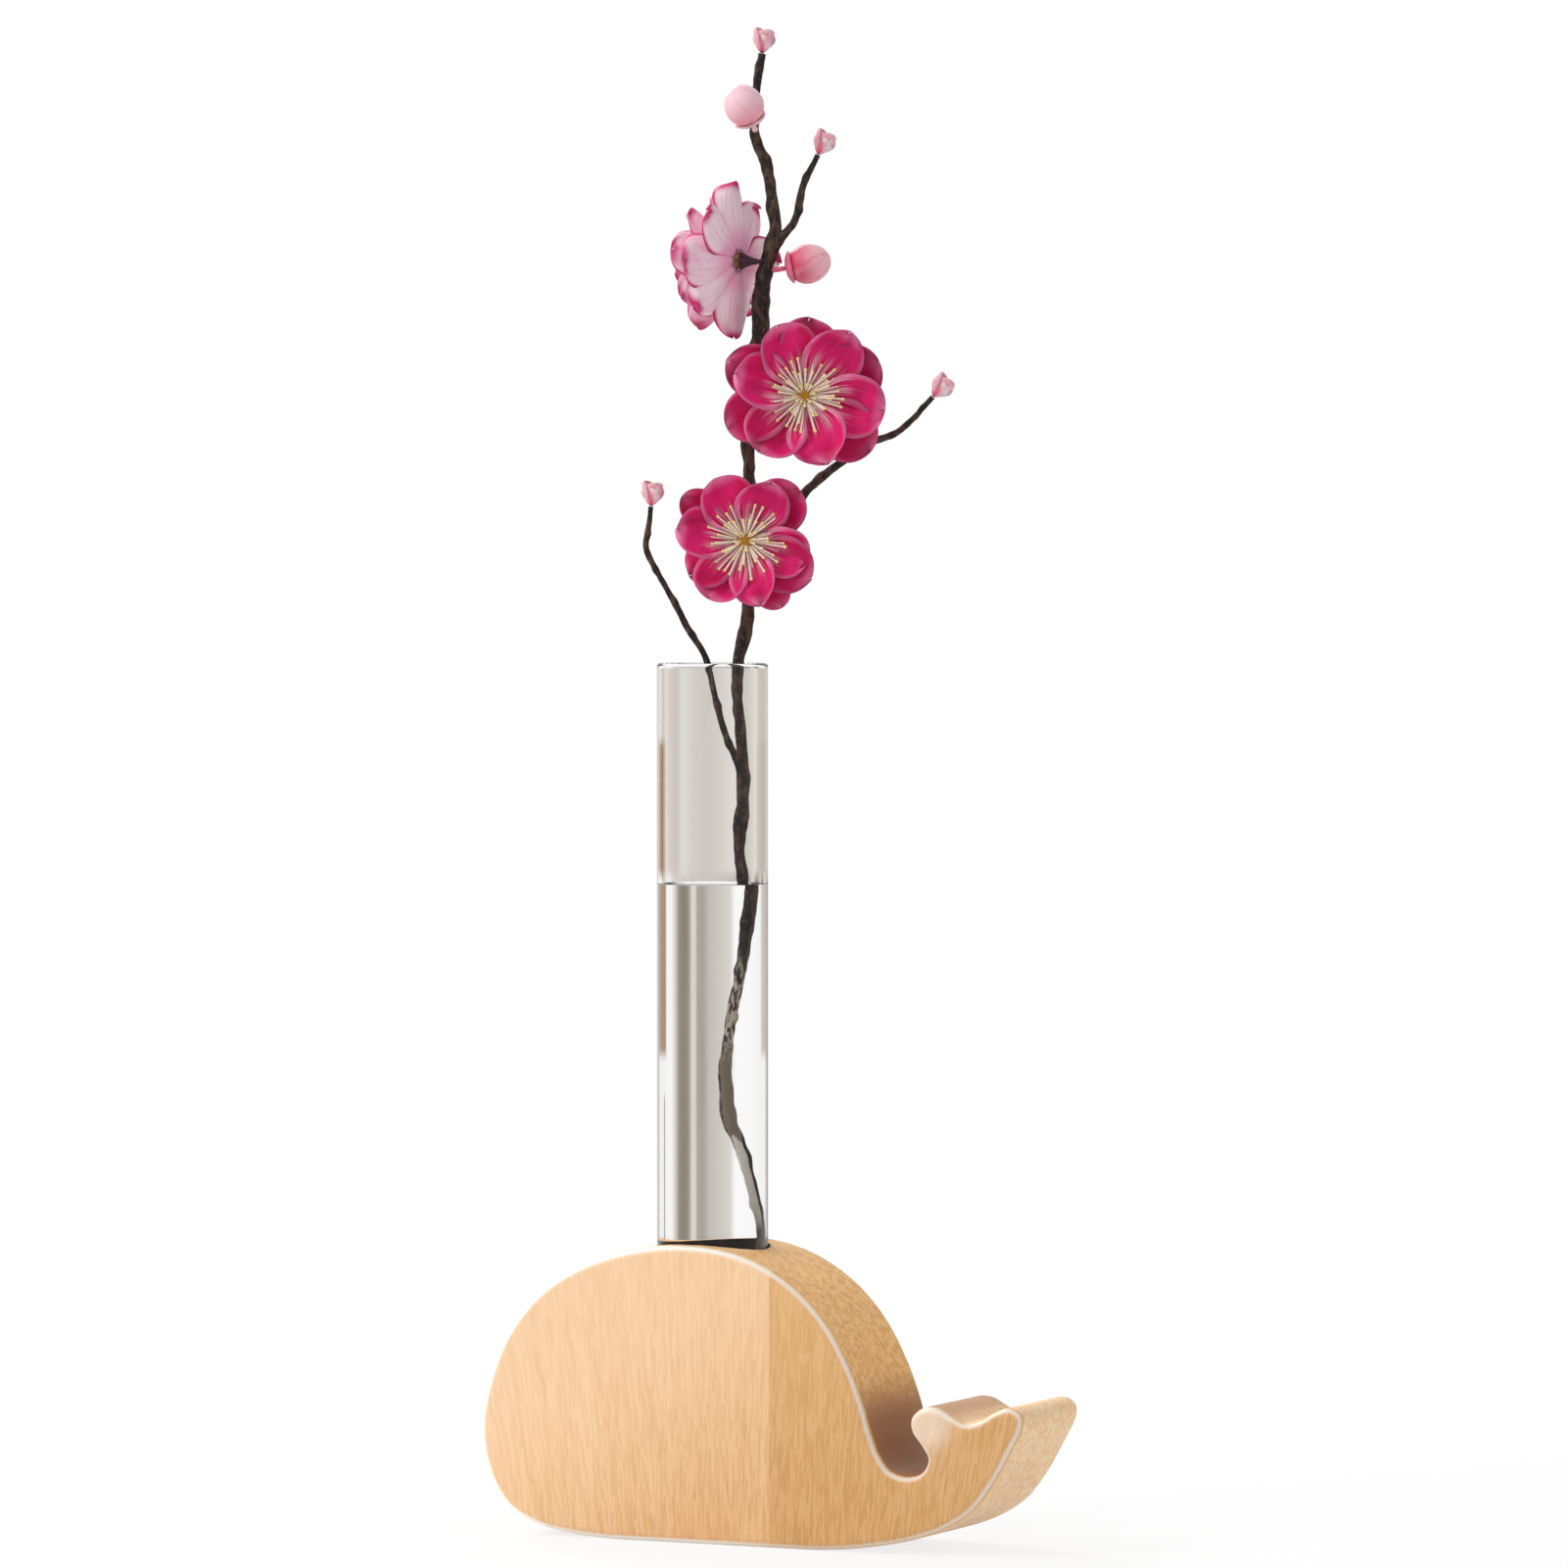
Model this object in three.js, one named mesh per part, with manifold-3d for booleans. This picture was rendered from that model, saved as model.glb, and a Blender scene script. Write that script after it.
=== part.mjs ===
// A whale-shaped wooden block with magnets in its back, holding a glass tube and a plum-blossom branch.
// Millimetres. Z is up, the block's face looks along -Y and its tail points along +X.
// The origin is on the block's flat underside, below the tube's axis.
import * as THREE from 'three';
import { mergeVertices } from 'three/addons/utils/BufferGeometryUtils.js';
import Module from 'manifold-3d';

const wasm = await Module();
wasm.setup();

const point = (x, y, z) => new THREE.Vector3(x, y, z);
const degrees = THREE.MathUtils.degToRad;

// Clearances and finish
const joinGap = 0.3;
const cutOverrun = 1;
const mergeTolerance = 1e-4;

// Glass tube: a plain round-bottomed test tube
const tube = {
  outerDiameter: 20,
  length: 150,
  wall: 1.2,
  boreClearance: 0.3,
};
const tubeOuterRadius = tube.outerDiameter / 2;
const tubeInnerRadius = tubeOuterRadius - tube.wall;

// Wooden block: two boards glued edge to edge, bored from above for the tube
const block = {
  length: 107.3,
  height: 53.3,
  noseToBore: 40.4,
  boreWall: 2.7,
  floorUnderBore: 7.1,
  edgeRadius: 1.6,
  boreToSeam: 7.2,
};
const boreRadius = tubeOuterRadius + tube.boreClearance;
const blockThickness = 2 * (boreRadius + block.boreWall);
const seamX = boreRadius + block.boreToSeam;

// Magnets: discs glued into blind recesses in the back face, one on each side of the bore
const magnet = {
  diameter: 10,
  thickness: 3,
  edgeRadius: 0.3,
  height: 22,
  woodBeside: 6,
  woodBesideSeam: 3,
};
const recessRadius = magnet.diameter / 2 + joinGap;

// Branch: the wood that stands in the tube and carries the blossoms
const branch = {
  stemRadius: 1.7,
  reach: 40,
  crownHeight: 109.4,
  turn: 25.5,
  stalkGap: 0.45,
};
const footGap = 0.5;
const footRadiusShare = 0.42;
const tubeBottomZ = block.floorUnderBore + joinGap;
const rimZ = tubeBottomZ + tube.length;
const footRadius = branch.stemRadius * footRadiusShare;
const footZ = tubeBottomZ + tubeOuterRadius - Math.sqrt(tubeInnerRadius ** 2 - footRadius ** 2) + footGap;

// Blossoms: a calyx behind, a double corolla and a crown of stamens
const petal = { root: 1.7, thickness: 0.5, cupShare: 0.2 };
const upperPetal = { length: 13.2, width: 11.6 };
const lowerPetal = { length: 11.4, width: 10.4 };
const sidePetal = { length: 12.6, width: 9.8 };
const pedicel = { upper: 0.5, lower: 0.8, paleBud: 3.4 };
const calyx = { radius: 1.9, depth: 3.2, stalkRadius: 0.7, lobes: 5, lobeShare: 0.2 };
const corollaDisc = { radius: 2.6, thickness: 0.6 };
const stamen = { radius: 0.2, length: 6.6, hubRadius: 1.2, hubHeight: 0.7, rootShare: 0.5 };
const outerStamens = { count: 8, lengthShare: 1 };
const innerStamens = { count: 5, lengthShare: 0.76 };

// Buds: two round ones in their calyxes, and a small opening one at the end of each twig
const paleBud = { width: 7.2, length: 7.6 };
const pinkBud = { width: 7.2, length: 8 };
const budFoldShare = 0.05;
const budCalyx = { wall: 0.35, stalkRadius: 0.45 };
const budCalyxDepthShare = 0.22;
const tipBud = { width: 3.2, length: 4.6, lobes: 4, lobeShare: 0.3 };

// Facets round each turned or swept piece
const facets = {
  bore: 40, magnet: 24, tube: 32, corolla: 20, calyx: 20, bud: 15, tipBud: 12, hub: 12,
  stem: 8, twig: 6, stalk: 6, filament: 3, stalkSteps: 2, budSteps: 9, cupSteps: 3,
  tubeBottomSteps: 6, rimSteps: 4,
};

// Outline of the block from where its flat underside ends at the tail, round to where it starts at the head,
// as shares of the length from the nose and of the height
const outlineShares = [
  [0.619, 0], [0.665, 0.006], [0.712, 0.017], [0.791, 0.047], [0.856, 0.092], [0.908, 0.158], [0.945, 0.251],
  [0.975, 0.355], [0.997, 0.443], [0.995, 0.482], [0.975, 0.505], [0.947, 0.488], [0.919, 0.456],
  [0.895, 0.447], [0.870, 0.467], [0.844, 0.493], [0.818, 0.492], [0.797, 0.456], [0.798, 0.411],
  [0.816, 0.362], [0.827, 0.319], [0.815, 0.276], [0.788, 0.261], [0.760, 0.276], [0.740, 0.323],
  [0.724, 0.398], [0.709, 0.493], [0.686, 0.606], [0.645, 0.747], [0.582, 0.874], [0.498, 0.964],
  [0.400, 1], [0.297, 0.985], [0.195, 0.925], [0.111, 0.824], [0.048, 0.674], [0.011, 0.493],
  [0, 0.347], [0.013, 0.210], [0.050, 0.094], [0.106, 0.036], [0.181, 0.009], [0.246, 0],
];
const outlineStepsPerSpan = 3;
const edgeSteps = 2;

// Stem below the rim: side and front as shares of the tube's bore, height as a share of foot to rim,
// thickness as a share of the stem's radius
const stemInTubeShares = [
  [0, 0, 0, footRadiusShare], [0.2, 0.03, 0.09, 0.44], [0.57, 0.07, 0.21, 0.45], [0.8, 0.03, 0.305, 0.47],
  [0.62, 0, 0.365, 0.48], [0.37, 0, 0.42, 0.52], [0.2, -0.02, 0.445, 0.64], [0.13, 0, 0.5, 0.52],
  [0.18, 0.02, 0.526, 0.44], [0.26, 0.03, 0.576, 0.43], [0.41, 0.05, 0.62, 0.46], [0.55, 0.03, 0.683, 0.58],
  [0.62, 0, 0.73, 0.6], [0.55, -0.02, 0.772, 0.58], [0.6, 0, 0.814, 0.7], [0.62, 0.02, 0.854, 0.66],
  [0.59, 0.02, 0.91, 0.54], [0.5, 0, 0.964, 0.56],
];
// Stem above the rim: side and front as shares of the reach, height as a share of rim to top
const stemAboveShares = [
  [0.118, 0, 0.005, 0.64], [0.16, 0, 0.084, 0.7], [0.165, 0, 0.2, 0.62], [0.165, 0, 0.31, 0.62],
  [0.162, 0, 0.37, 0.65], [0.183, -0.005, 0.444, 0.74], [0.215, -0.008, 0.534, 0.9], [0.218, 0, 0.592, 0.9],
  [0.232, 0.005, 0.636, 0.84], [0.262, 0.005, 0.682, 0.72], [0.282, 0, 0.72, 0.64], [0.268, 0, 0.764, 0.6],
  [0.242, 0, 0.816, 0.58], [0.192, 0, 0.864, 0.54], [0.19, -0.005, 0.9, 0.48], [0.2, 0, 0.948, 0.45],
  [0.222, 0, 1, 0.42],
];
// The left twig forks inside the tube, so its first places are shares of the bore like the stem's
const leftTwigInTubeShares = [
  [0.6, 0.02, 0.862, 0.42], [0.46, 0.1, 0.888, 0.4], [0.3, 0.14, 0.908, 0.36], [0.08, 0.14, 0.952, 0.34],
];
const leftTwigAboveShares = [
  [-0.033, 0.02, 0.01, 0.34], [-0.112, 0.02, 0.058, 0.34], [-0.174, 0.02, 0.102, 0.32],
  [-0.244, 0.01, 0.147, 0.31], [-0.298, 0, 0.19, 0.32], [-0.288, 0, 0.22, 0.3], [-0.276, 0, 0.257, 0.26],
];
const rightTwigShares = [
  [0.167, 0, 0.148, 0.4], [0.26, -0.06, 0.2, 0.5], [0.372, -0.06, 0.257, 0.54], [0.424, -0.05, 0.283, 0.48],
  [0.504, -0.03, 0.309, 0.46], [0.606, -0.02, 0.338, 0.44], [0.676, -0.01, 0.357, 0.4],
  [0.828, 0, 0.379, 0.36], [0.9, 0, 0.401, 0.32], [0.99, 0, 0.437, 0.28],
];
const upperTwigShares = [
  [0.245, 0, 0.644, 0.5], [0.272, 0.01, 0.672, 0.5], [0.312, 0.01, 0.698, 0.44], [0.372, 0, 0.727, 0.4],
  [0.393, 0, 0.76, 0.42], [0.414, 0, 0.79, 0.36], [0.474, 0, 0.834, 0.3],
];

// Where each blossom leaves the stem, as a share of rim to top, and its offset as shares of the reach.
// Its heading is side, front and up; its leans are degrees from root to tip.
// Petals: turn round the blossom in shares of a full turn, then length and width shares
const blossoms = [
  {
    name: 'upper', stemShare: 0.437, sideShare: 0.23, upShare: 0, pedicel: pedicel.upper,
    heading: [0.06, 1, 0.04], petalSize: upperPetal,
    frontLean: [26, 12], backLean: [12, 2], stamenLean: [34, 62],
    frontShares: [
      [0.322, 0.94, 0.96], [0.161, 0.98, 0.94], [0.975, 1, 1], [0.811, 0.92, 0.96], [0.647, 0.9, 1],
      [0.466, 0.96, 0.9],
    ],
    backShares: [
      [0.44, 1.06, 0.9], [0.56, 1.02, 0.9], [0.89, 1.06, 0.96], [0.07, 1, 0.96], [0.24, 0.94, 0.96],
    ],
  },
  {
    name: 'lower', stemShare: 0.201, sideShare: -0.015, upShare: 0, pedicel: pedicel.lower,
    heading: [-0.04, 1, 0], petalSize: lowerPetal,
    frontLean: [26, 12], backLean: [12, 2], stamenLean: [34, 62],
    frontShares: [
      [0.328, 0.98, 1], [0.189, 0.92, 0.96], [0.964, 0.92, 0.9], [0.8, 0.98, 0.84], [0.667, 0.96, 0.96],
      [0.484, 1.02, 0.92],
    ],
    backShares: [
      [0.92, 1.08, 1], [0.83, 1.06, 0.72], [0.13, 1.04, 1], [0.405, 1.08, 0.72], [0.59, 0.9, 0.9],
    ],
  },
  {
    name: 'side', stemShare: 0.66, sideShare: -0.13, upShare: 0, pedicel: 0,
    heading: [-0.88, -0.45, 0.06], petalSize: sidePetal,
    frontLean: [48, 60], backLean: [12, 26], stamenLean: [70, 84],
    frontShares: [
      [0.04, 0.92, 1], [0.2, 0.88, 0.9], [0.37, 0.9, 1], [0.53, 0.86, 0.9], [0.7, 0.9, 1], [0.86, 0.88, 0.9],
    ],
    backShares: [[0.13, 1, 0.98], [0.31, 0.96, 1], [0.49, 1, 0.96], [0.7, 0.94, 1], [0.92, 1, 0.97]],
  },
];
const roundBuds = [
  {
    name: 'pale_bud', stemShare: 0.875, sideShare: -0.0125, upShare: 0.025, pedicel: pedicel.paleBud,
    heading: [-0.4, 0.42, 0.82], size: paleBud,
  },
  {
    name: 'pink_bud', stemShare: 0.645, sideShare: 0.098, upShare: 0.01, pedicel: 0,
    heading: [1, 0, 0.2], size: pinkBud,
  },
];
const petalAlongShares = [0, 0.24, 0.52, 0.8, 1];
const petalWidthShares = [0.2, 0.66, 1, 0.86, 0.42];
const petalAcrossShares = [-1, -0.42, 0.42, 1];

// Stamens: places along a filament and its thickness there, with the anther near its tip
const filamentAlongShares = [0, 0.84, 0.93, 1];
const filamentRadiusShares = [1, 0.8, 2, 0.9];

// Profiles from the foot up: radius as a share of the half-width, height as a share of the depth or length
const calyxProfileShares = [[0.62, 0.28], [0.9, 0.65], [1.3, 0.88], [1, 1]];
const tipBudProfileShares = [
  [0.35, 0], [0.8, 0.24], [0.84, 0.5], [0.62, 0.74], [1, 1], [0.4, 0.82], [0, 0.72],
];
// A round bud is a little fuller than its width at the foot and tapers towards the top
const budFullnessShare = 1.06;
const budTaperShare = 0.12;

// Join vertices that lie together, and drop triangles that fold flat at a pole
function closedGeometry(geometry) {
  geometry.deleteAttribute('normal');
  geometry.deleteAttribute('uv');
  const merged = mergeVertices(geometry, mergeTolerance);
  const corners = merged.index.array;
  const kept = [];
  for (let i = 0; i < corners.length; i += 3) {
    const [a, b, c] = corners.slice(i, i + 3);
    if (a !== b && b !== c && c !== a) kept.push(a, b, c);
  }
  merged.setIndex(kept);
  return merged;
}

function toSolid(geometry) {
  const closed = closedGeometry(geometry);
  return new wasm.Manifold(new wasm.Mesh({
    numProp: 3,
    vertProperties: new Float32Array(closed.getAttribute('position').array),
    triVerts: new Uint32Array(closed.index.array),
  }));
}

function toGeometry(solid) {
  const mesh = solid.getMesh();
  const geometry = new THREE.BufferGeometry();
  geometry.setAttribute('position', new THREE.BufferAttribute(new Float32Array(mesh.vertProperties), 3));
  geometry.setIndex(new THREE.BufferAttribute(new Uint32Array(mesh.triVerts), 1));
  return geometry;
}

const joined = (solids) => solids.reduce((whole, next) => whole.add(next));

// A revolved body with its axis along Z; lobes swell and draw in its section towards the top
function revolved(profile, segments, lobes = 0, lobeShare = 0) {
  const geometry = new THREE.LatheGeometry(profile, segments);
  geometry.rotateX(Math.PI / 2);
  const place = geometry.getAttribute('position');
  const low = Math.min(...profile.map((corner) => corner.y));
  const high = Math.max(...profile.map((corner) => corner.y));
  for (let i = 0; i < place.count; i += 1) {
    const turn = Math.atan2(place.getY(i), place.getX(i));
    const swell = 1 + lobeShare * Math.cos(lobes * turn) * (place.getZ(i) - low) / (high - low);
    place.setXY(i, place.getX(i) * swell, place.getY(i) * swell);
  }
  return geometry;
}

const profileOf = (corners) => corners.map(([radius, height]) => new THREE.Vector2(radius, height));

// A limb of round section that follows a curve, with a radius at each of the curve's points
function limb(route, radii, sides, stepsPerSpan) {
  const curve = new THREE.CatmullRomCurve3(route, false, 'centripetal');
  const rings = (route.length - 1) * stepsPerSpan;
  const places = [];
  const corners = [];
  const across = point(0, 1, 0);
  for (let ring = 0; ring <= rings; ring += 1) {
    const share = ring / rings;
    const centre = curve.getPoint(share);
    const along = curve.getTangent(share);
    across.addScaledVector(along, -across.dot(along)).normalize();
    const beside = along.clone().cross(across);
    const span = Math.min(Math.floor(share * (route.length - 1)), route.length - 2);
    const radius = THREE.MathUtils.lerp(radii[span], radii[span + 1], share * (route.length - 1) - span);
    for (let side = 0; side < sides; side += 1) {
      const turn = (2 * Math.PI * side) / sides;
      const spoke = across.clone().multiplyScalar(Math.cos(turn)).addScaledVector(beside, Math.sin(turn));
      places.push(...centre.clone().addScaledVector(spoke, radius).toArray());
      if (ring === rings) continue;
      const a = ring * sides + side;
      const b = ring * sides + ((side + 1) % sides);
      corners.push(a, b, b + sides, a, b + sides, a + sides);
    }
  }
  const startCentre = places.length / 3;
  const last = rings * sides;
  places.push(...curve.getPoint(0).toArray(), ...curve.getPoint(1).toArray());
  for (let side = 0; side < sides; side += 1) {
    const next = (side + 1) % sides;
    corners.push(startCentre, next, side, startCentre + 1, last + side, last + next);
  }
  const geometry = new THREE.BufferGeometry();
  geometry.setAttribute('position', new THREE.Float32BufferAttribute(places, 3));
  geometry.setIndex(corners);
  return geometry;
}

// Wooden block: the outline carried across the thickness in rings, drawn in over the rounded edges
function blockSolid() {
  const corners = outlineShares.map(([along, up]) =>
    point(along * block.length - block.noseToBore, 0, up * block.height));
  const steps = (corners.length - 1) * outlineStepsPerSpan;
  const outline = new THREE.CatmullRomCurve3(corners, false, 'centripetal').getPoints(steps)
    .filter((place, i) => place.z > 0 || i === 0 || i === steps);
  const count = outline.length;
  const outward = outline.map((place, i) => {
    const side = outline[(i + 1) % count].clone().sub(place);
    return point(side.z, 0, -side.x).normalize();
  });
  const normals = outward.map((normal, i) => normal.clone().add(outward.at(i - 1)).normalize());
  const half = blockThickness / 2;
  const rounding = Array.from({ length: edgeSteps + 1 }, (_, i) => {
    const turn = (Math.PI / 2) * (i / edgeSteps);
    return [block.edgeRadius * (1 - Math.sin(turn)), half - block.edgeRadius * (1 - Math.cos(turn))];
  });
  const profile = [
    ...rounding.map(([inset, y]) => [inset, -y]),
    ...rounding.toReversed(),
  ];
  const places = profile.flatMap(([inset, y]) =>
    outline.flatMap((place, i) => place.clone().addScaledVector(normals[i], -inset).setY(y).toArray()));
  const faces = [];
  for (let ring = 0; ring < profile.length - 1; ring += 1) {
    for (let i = 0; i < count; i += 1) {
      const a = ring * count + i;
      const b = ring * count + ((i + 1) % count);
      faces.push(a, b + count, b, a, a + count, b + count);
    }
  }
  const last = (profile.length - 1) * count;
  const flat = THREE.ShapeUtils.triangulateShape(outline.map(({ x, z }) => new THREE.Vector2(x, z)), []);
  flat.forEach(([a, b, c]) => faces.push(a, b, c, last + a, last + c, last + b));
  const geometry = new THREE.BufferGeometry();
  geometry.setAttribute('position', new THREE.Float32BufferAttribute(places, 3));
  geometry.setIndex(faces);
  return toSolid(geometry);
}

// A cutter that covers everything on one side of the glue line
function sideOfSeam(direction) {
  const reach = block.length + cutOverrun;
  const cutter = new THREE.BoxGeometry(reach, reach, reach);
  cutter.translate(seamX + (direction * reach) / 2, 0, block.height / 2);
  return toSolid(cutter);
}

function boreCutter() {
  const depth = block.height - block.floorUnderBore + cutOverrun;
  const cutter = new THREE.CylinderGeometry(boreRadius, boreRadius, depth, facets.bore);
  cutter.rotateX(Math.PI / 2);
  cutter.translate(0, 0, block.floorUnderBore + depth / 2);
  return toSolid(cutter);
}

const magnetPlaces = [
  -(boreRadius + magnet.woodBeside + recessRadius),
  seamX + magnet.woodBesideSeam + recessRadius,
];

function recessCutter(x) {
  const depth = magnet.thickness + joinGap;
  const cutter = new THREE.CylinderGeometry(recessRadius, recessRadius, depth + cutOverrun, facets.magnet);
  cutter.translate(x, blockThickness / 2 - depth + (depth + cutOverrun) / 2, magnet.height);
  return toSolid(cutter);
}

const whole = blockSolid();
const [leftRecess, rightRecess] = magnetPlaces.map(recessCutter);
const headBlock = whole.intersect(sideOfSeam(-1)).subtract(boreCutter()).subtract(leftRecess);
const tailBlock = whole.intersect(sideOfSeam(1)).subtract(rightRecess);

// Magnet with a small chamfer on both rims, its outer face flush with the block's back
function magnetGeometry(x) {
  const radius = magnet.diameter / 2;
  const flat = radius - magnet.edgeRadius;
  const geometry = revolved(profileOf([
    [0, 0], [flat, 0], [radius, magnet.edgeRadius], [radius, magnet.thickness - magnet.edgeRadius],
    [flat, magnet.thickness], [0, magnet.thickness],
  ]), facets.magnet);
  geometry.rotateX(-Math.PI / 2);
  geometry.translate(x, blockThickness / 2 - magnet.thickness, magnet.height);
  return closedGeometry(geometry);
}

// Glass tube with a round bottom and a fire-polished rim
function tubeGeometry() {
  const { tubeBottomSteps: bottomSteps, rimSteps } = facets;
  const profile = [];
  for (let i = 0; i <= bottomSteps; i += 1) {
    const turn = (Math.PI / 2) * (i / bottomSteps);
    profile.push([tubeOuterRadius * Math.sin(turn), tubeOuterRadius * (1 - Math.cos(turn))]);
  }
  const rimRadius = tube.wall / 2;
  for (let i = 0; i <= rimSteps; i += 1) {
    const turn = Math.PI * (i / rimSteps);
    profile.push([
      tubeOuterRadius - rimRadius + rimRadius * Math.cos(turn),
      tube.length - rimRadius + rimRadius * Math.sin(turn),
    ]);
  }
  for (let i = bottomSteps; i >= 0; i -= 1) {
    const turn = (Math.PI / 2) * (i / bottomSteps);
    profile.push([tubeInnerRadius * Math.sin(turn), tubeOuterRadius - tubeInnerRadius * Math.cos(turn)]);
  }
  const geometry = revolved(profileOf(profile), facets.tube);
  geometry.translate(0, 0, tubeBottomZ);
  return closedGeometry(geometry);
}

// Places on the branch, in its own upright plane: side along +X, front along -Y
const inTube = ([side, front, up]) =>
  point(side * tubeInnerRadius, -front * tubeInnerRadius, footZ + up * (rimZ - footZ));
const aboveRim = ([side, front, up]) =>
  point(side * branch.reach, -front * branch.reach, rimZ + up * branch.crownHeight);
const thickness = ([, , , share]) => share * branch.stemRadius;

const stemRoute = [...stemInTubeShares.map(inTube), ...stemAboveShares.map(aboveRim)];
const stemRadii = [...stemInTubeShares, ...stemAboveShares].map(thickness);
const leftTwigRoute = [...leftTwigInTubeShares.map(inTube), ...leftTwigAboveShares.map(aboveRim)];
const leftTwigRadii = [...leftTwigInTubeShares, ...leftTwigAboveShares].map(thickness);
const rightTwigRoute = rightTwigShares.map(aboveRim);
const upperTwigRoute = upperTwigShares.map(aboveRim);

function branchWood() {
  return joined([
    toSolid(limb(stemRoute, stemRadii, facets.stem, 1)),
    toSolid(limb(leftTwigRoute, leftTwigRadii, facets.twig, 1)),
    toSolid(limb(rightTwigRoute, rightTwigShares.map(thickness), facets.twig, 1)),
    toSolid(limb(upperTwigRoute, upperTwigShares.map(thickness), facets.twig, 1)),
  ]);
}

// The stem's centre and radius at a height
function stemAt(height) {
  const span = stemRoute.findIndex((place, i) => i > 0 && place.z >= height && stemRoute[i - 1].z < height);
  const share = (height - stemRoute[span - 1].z) / (stemRoute[span].z - stemRoute[span - 1].z);
  return {
    centre: stemRoute[span - 1].clone().lerp(stemRoute[span], share),
    radius: THREE.MathUtils.lerp(stemRadii[span - 1], stemRadii[span], share),
  };
}

// A petal along +X: a thin plate whose lean goes from its root angle to its tip angle, cupped across
function petalGeometry(length, width, rootLean, tipLean) {
  const rows = petalAlongShares.length;
  const columns = petalAcrossShares.length;
  const spine = point(petal.root, 0, 0);
  const faces = [[], []];
  petalAlongShares.forEach((along, row) => {
    const lean = THREE.MathUtils.lerp(rootLean, tipLean, along);
    const step = row === 0 ? 0 : length * (along - petalAlongShares[row - 1]);
    spine.add(point(step * Math.cos(lean), 0, step * Math.sin(lean)));
    const normal = point(-Math.sin(lean), 0, Math.cos(lean));
    const halfWidth = (width / 2) * petalWidthShares[row];
    petalAcrossShares.forEach((across) => {
      const centre = spine.clone().addScaledVector(normal, petal.cupShare * halfWidth * across * across);
      centre.y = halfWidth * across;
      faces[0].push(centre.clone().addScaledVector(normal, petal.thickness / 2));
      faces[1].push(centre.clone().addScaledVector(normal, -petal.thickness / 2));
    });
  });
  const places = [...faces[0], ...faces[1]].flatMap((place) => place.toArray());
  const under = rows * columns;
  const corners = [];
  for (let row = 0; row < rows - 1; row += 1) {
    for (let column = 0; column < columns - 1; column += 1) {
      const a = row * columns + column;
      const c = a + columns;
      corners.push(a, c, c + 1, a, c + 1, a + 1);
      corners.push(under + a, under + c + 1, under + c, under + a, under + a + 1, under + c + 1);
    }
  }
  const rim = [];
  for (let column = 0; column < columns - 1; column += 1) rim.push(column);
  for (let row = 0; row < rows - 1; row += 1) rim.push(row * columns + columns - 1);
  for (let column = columns - 1; column > 0; column -= 1) rim.push((rows - 1) * columns + column);
  for (let row = rows - 1; row > 0; row -= 1) rim.push(row * columns);
  rim.forEach((a, i) => {
    const b = rim[(i + 1) % rim.length];
    corners.push(a, b, under + b, a, under + b, under + a);
  });
  const geometry = new THREE.BufferGeometry();
  geometry.setAttribute('position', new THREE.Float32BufferAttribute(places, 3));
  geometry.setIndex(corners);
  return geometry;
}

// A double corolla on a small disc, standing on the calyx at height zero
function corollaGeometry(bloom) {
  const middle = joinGap + corollaDisc.thickness / 2;
  const { radius, thickness: height } = corollaDisc;
  const disc = new THREE.CylinderGeometry(radius, radius, height, facets.corolla);
  disc.rotateX(Math.PI / 2);
  disc.translate(0, 0, middle);
  const rows = [
    [bloom.frontShares, bloom.frontLean],
    [bloom.backShares, bloom.backLean],
  ];
  const petals = rows.flatMap(([shares, lean]) => shares.map(([turn, length, width]) => {
    const size = [length * bloom.petalSize.length, width * bloom.petalSize.width];
    const geometry = petalGeometry(...size, degrees(lean[0]), degrees(lean[1]));
    geometry.rotateZ(2 * Math.PI * turn);
    geometry.translate(0, 0, middle);
    return toSolid(geometry);
  }));
  return toGeometry(joined([toSolid(disc), ...petals]));
}

// Stamens: filaments in two rows that leave a small hub, each with an anther at its tip
function stamensGeometry(bloom) {
  const filamentRows = [
    { ...outerStamens, lean: bloom.stamenLean[0] },
    { ...innerStamens, lean: bloom.stamenLean[1] },
  ];
  const seat = joinGap + corollaDisc.thickness + joinGap;
  const hub = revolved(profileOf([
    [0, seat], [stamen.hubRadius, seat], [stamen.hubRadius, seat + stamen.hubHeight / 2],
    [0, seat + stamen.hubHeight],
  ]), facets.hub);
  const low = seat + stamen.hubHeight / 2;
  const filaments = filamentRows.flatMap(({ count, lean, lengthShare }) =>
    Array.from({ length: count }, (_, i) => {
      const turn = (2 * Math.PI * i) / count;
      const lift = degrees(lean);
      const heading = point(Math.cos(turn) * Math.cos(lift), Math.sin(turn) * Math.cos(lift), Math.sin(lift));
      const route = filamentAlongShares.map((share) =>
        point(Math.cos(turn), Math.sin(turn), 0).multiplyScalar(stamen.rootShare * stamen.hubRadius)
          .setZ(low).addScaledVector(heading, share * lengthShare * stamen.length));
      const radii = filamentRadiusShares.map((share) => share * stamen.radius);
      return toSolid(limb(route, radii, facets.filament, 1));
    }));
  return toGeometry(joined([toSolid(hub), ...filaments]));
}

// A five-lobed calyx with its top at height zero
function calyxCup() {
  const sides = calyxProfileShares.map(([out, up]) => [out * calyx.radius, (up - 1) * calyx.depth]);
  return revolved(
    profileOf([[0, -calyx.depth], [calyx.stalkRadius, -calyx.depth], ...sides, [0, 0]]),
    facets.calyx, calyx.lobes, calyx.lobeShare,
  );
}

// Half-width of a round bud at a share of its length: blunt below, a little pointed above
const budHalfWidth = (bud, share) =>
  (bud.width / 2) * Math.sqrt(Math.max(0, 1 - (2 * share - 1) ** 2))
  * (budFullnessShare - budTaperShare * share);

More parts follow.
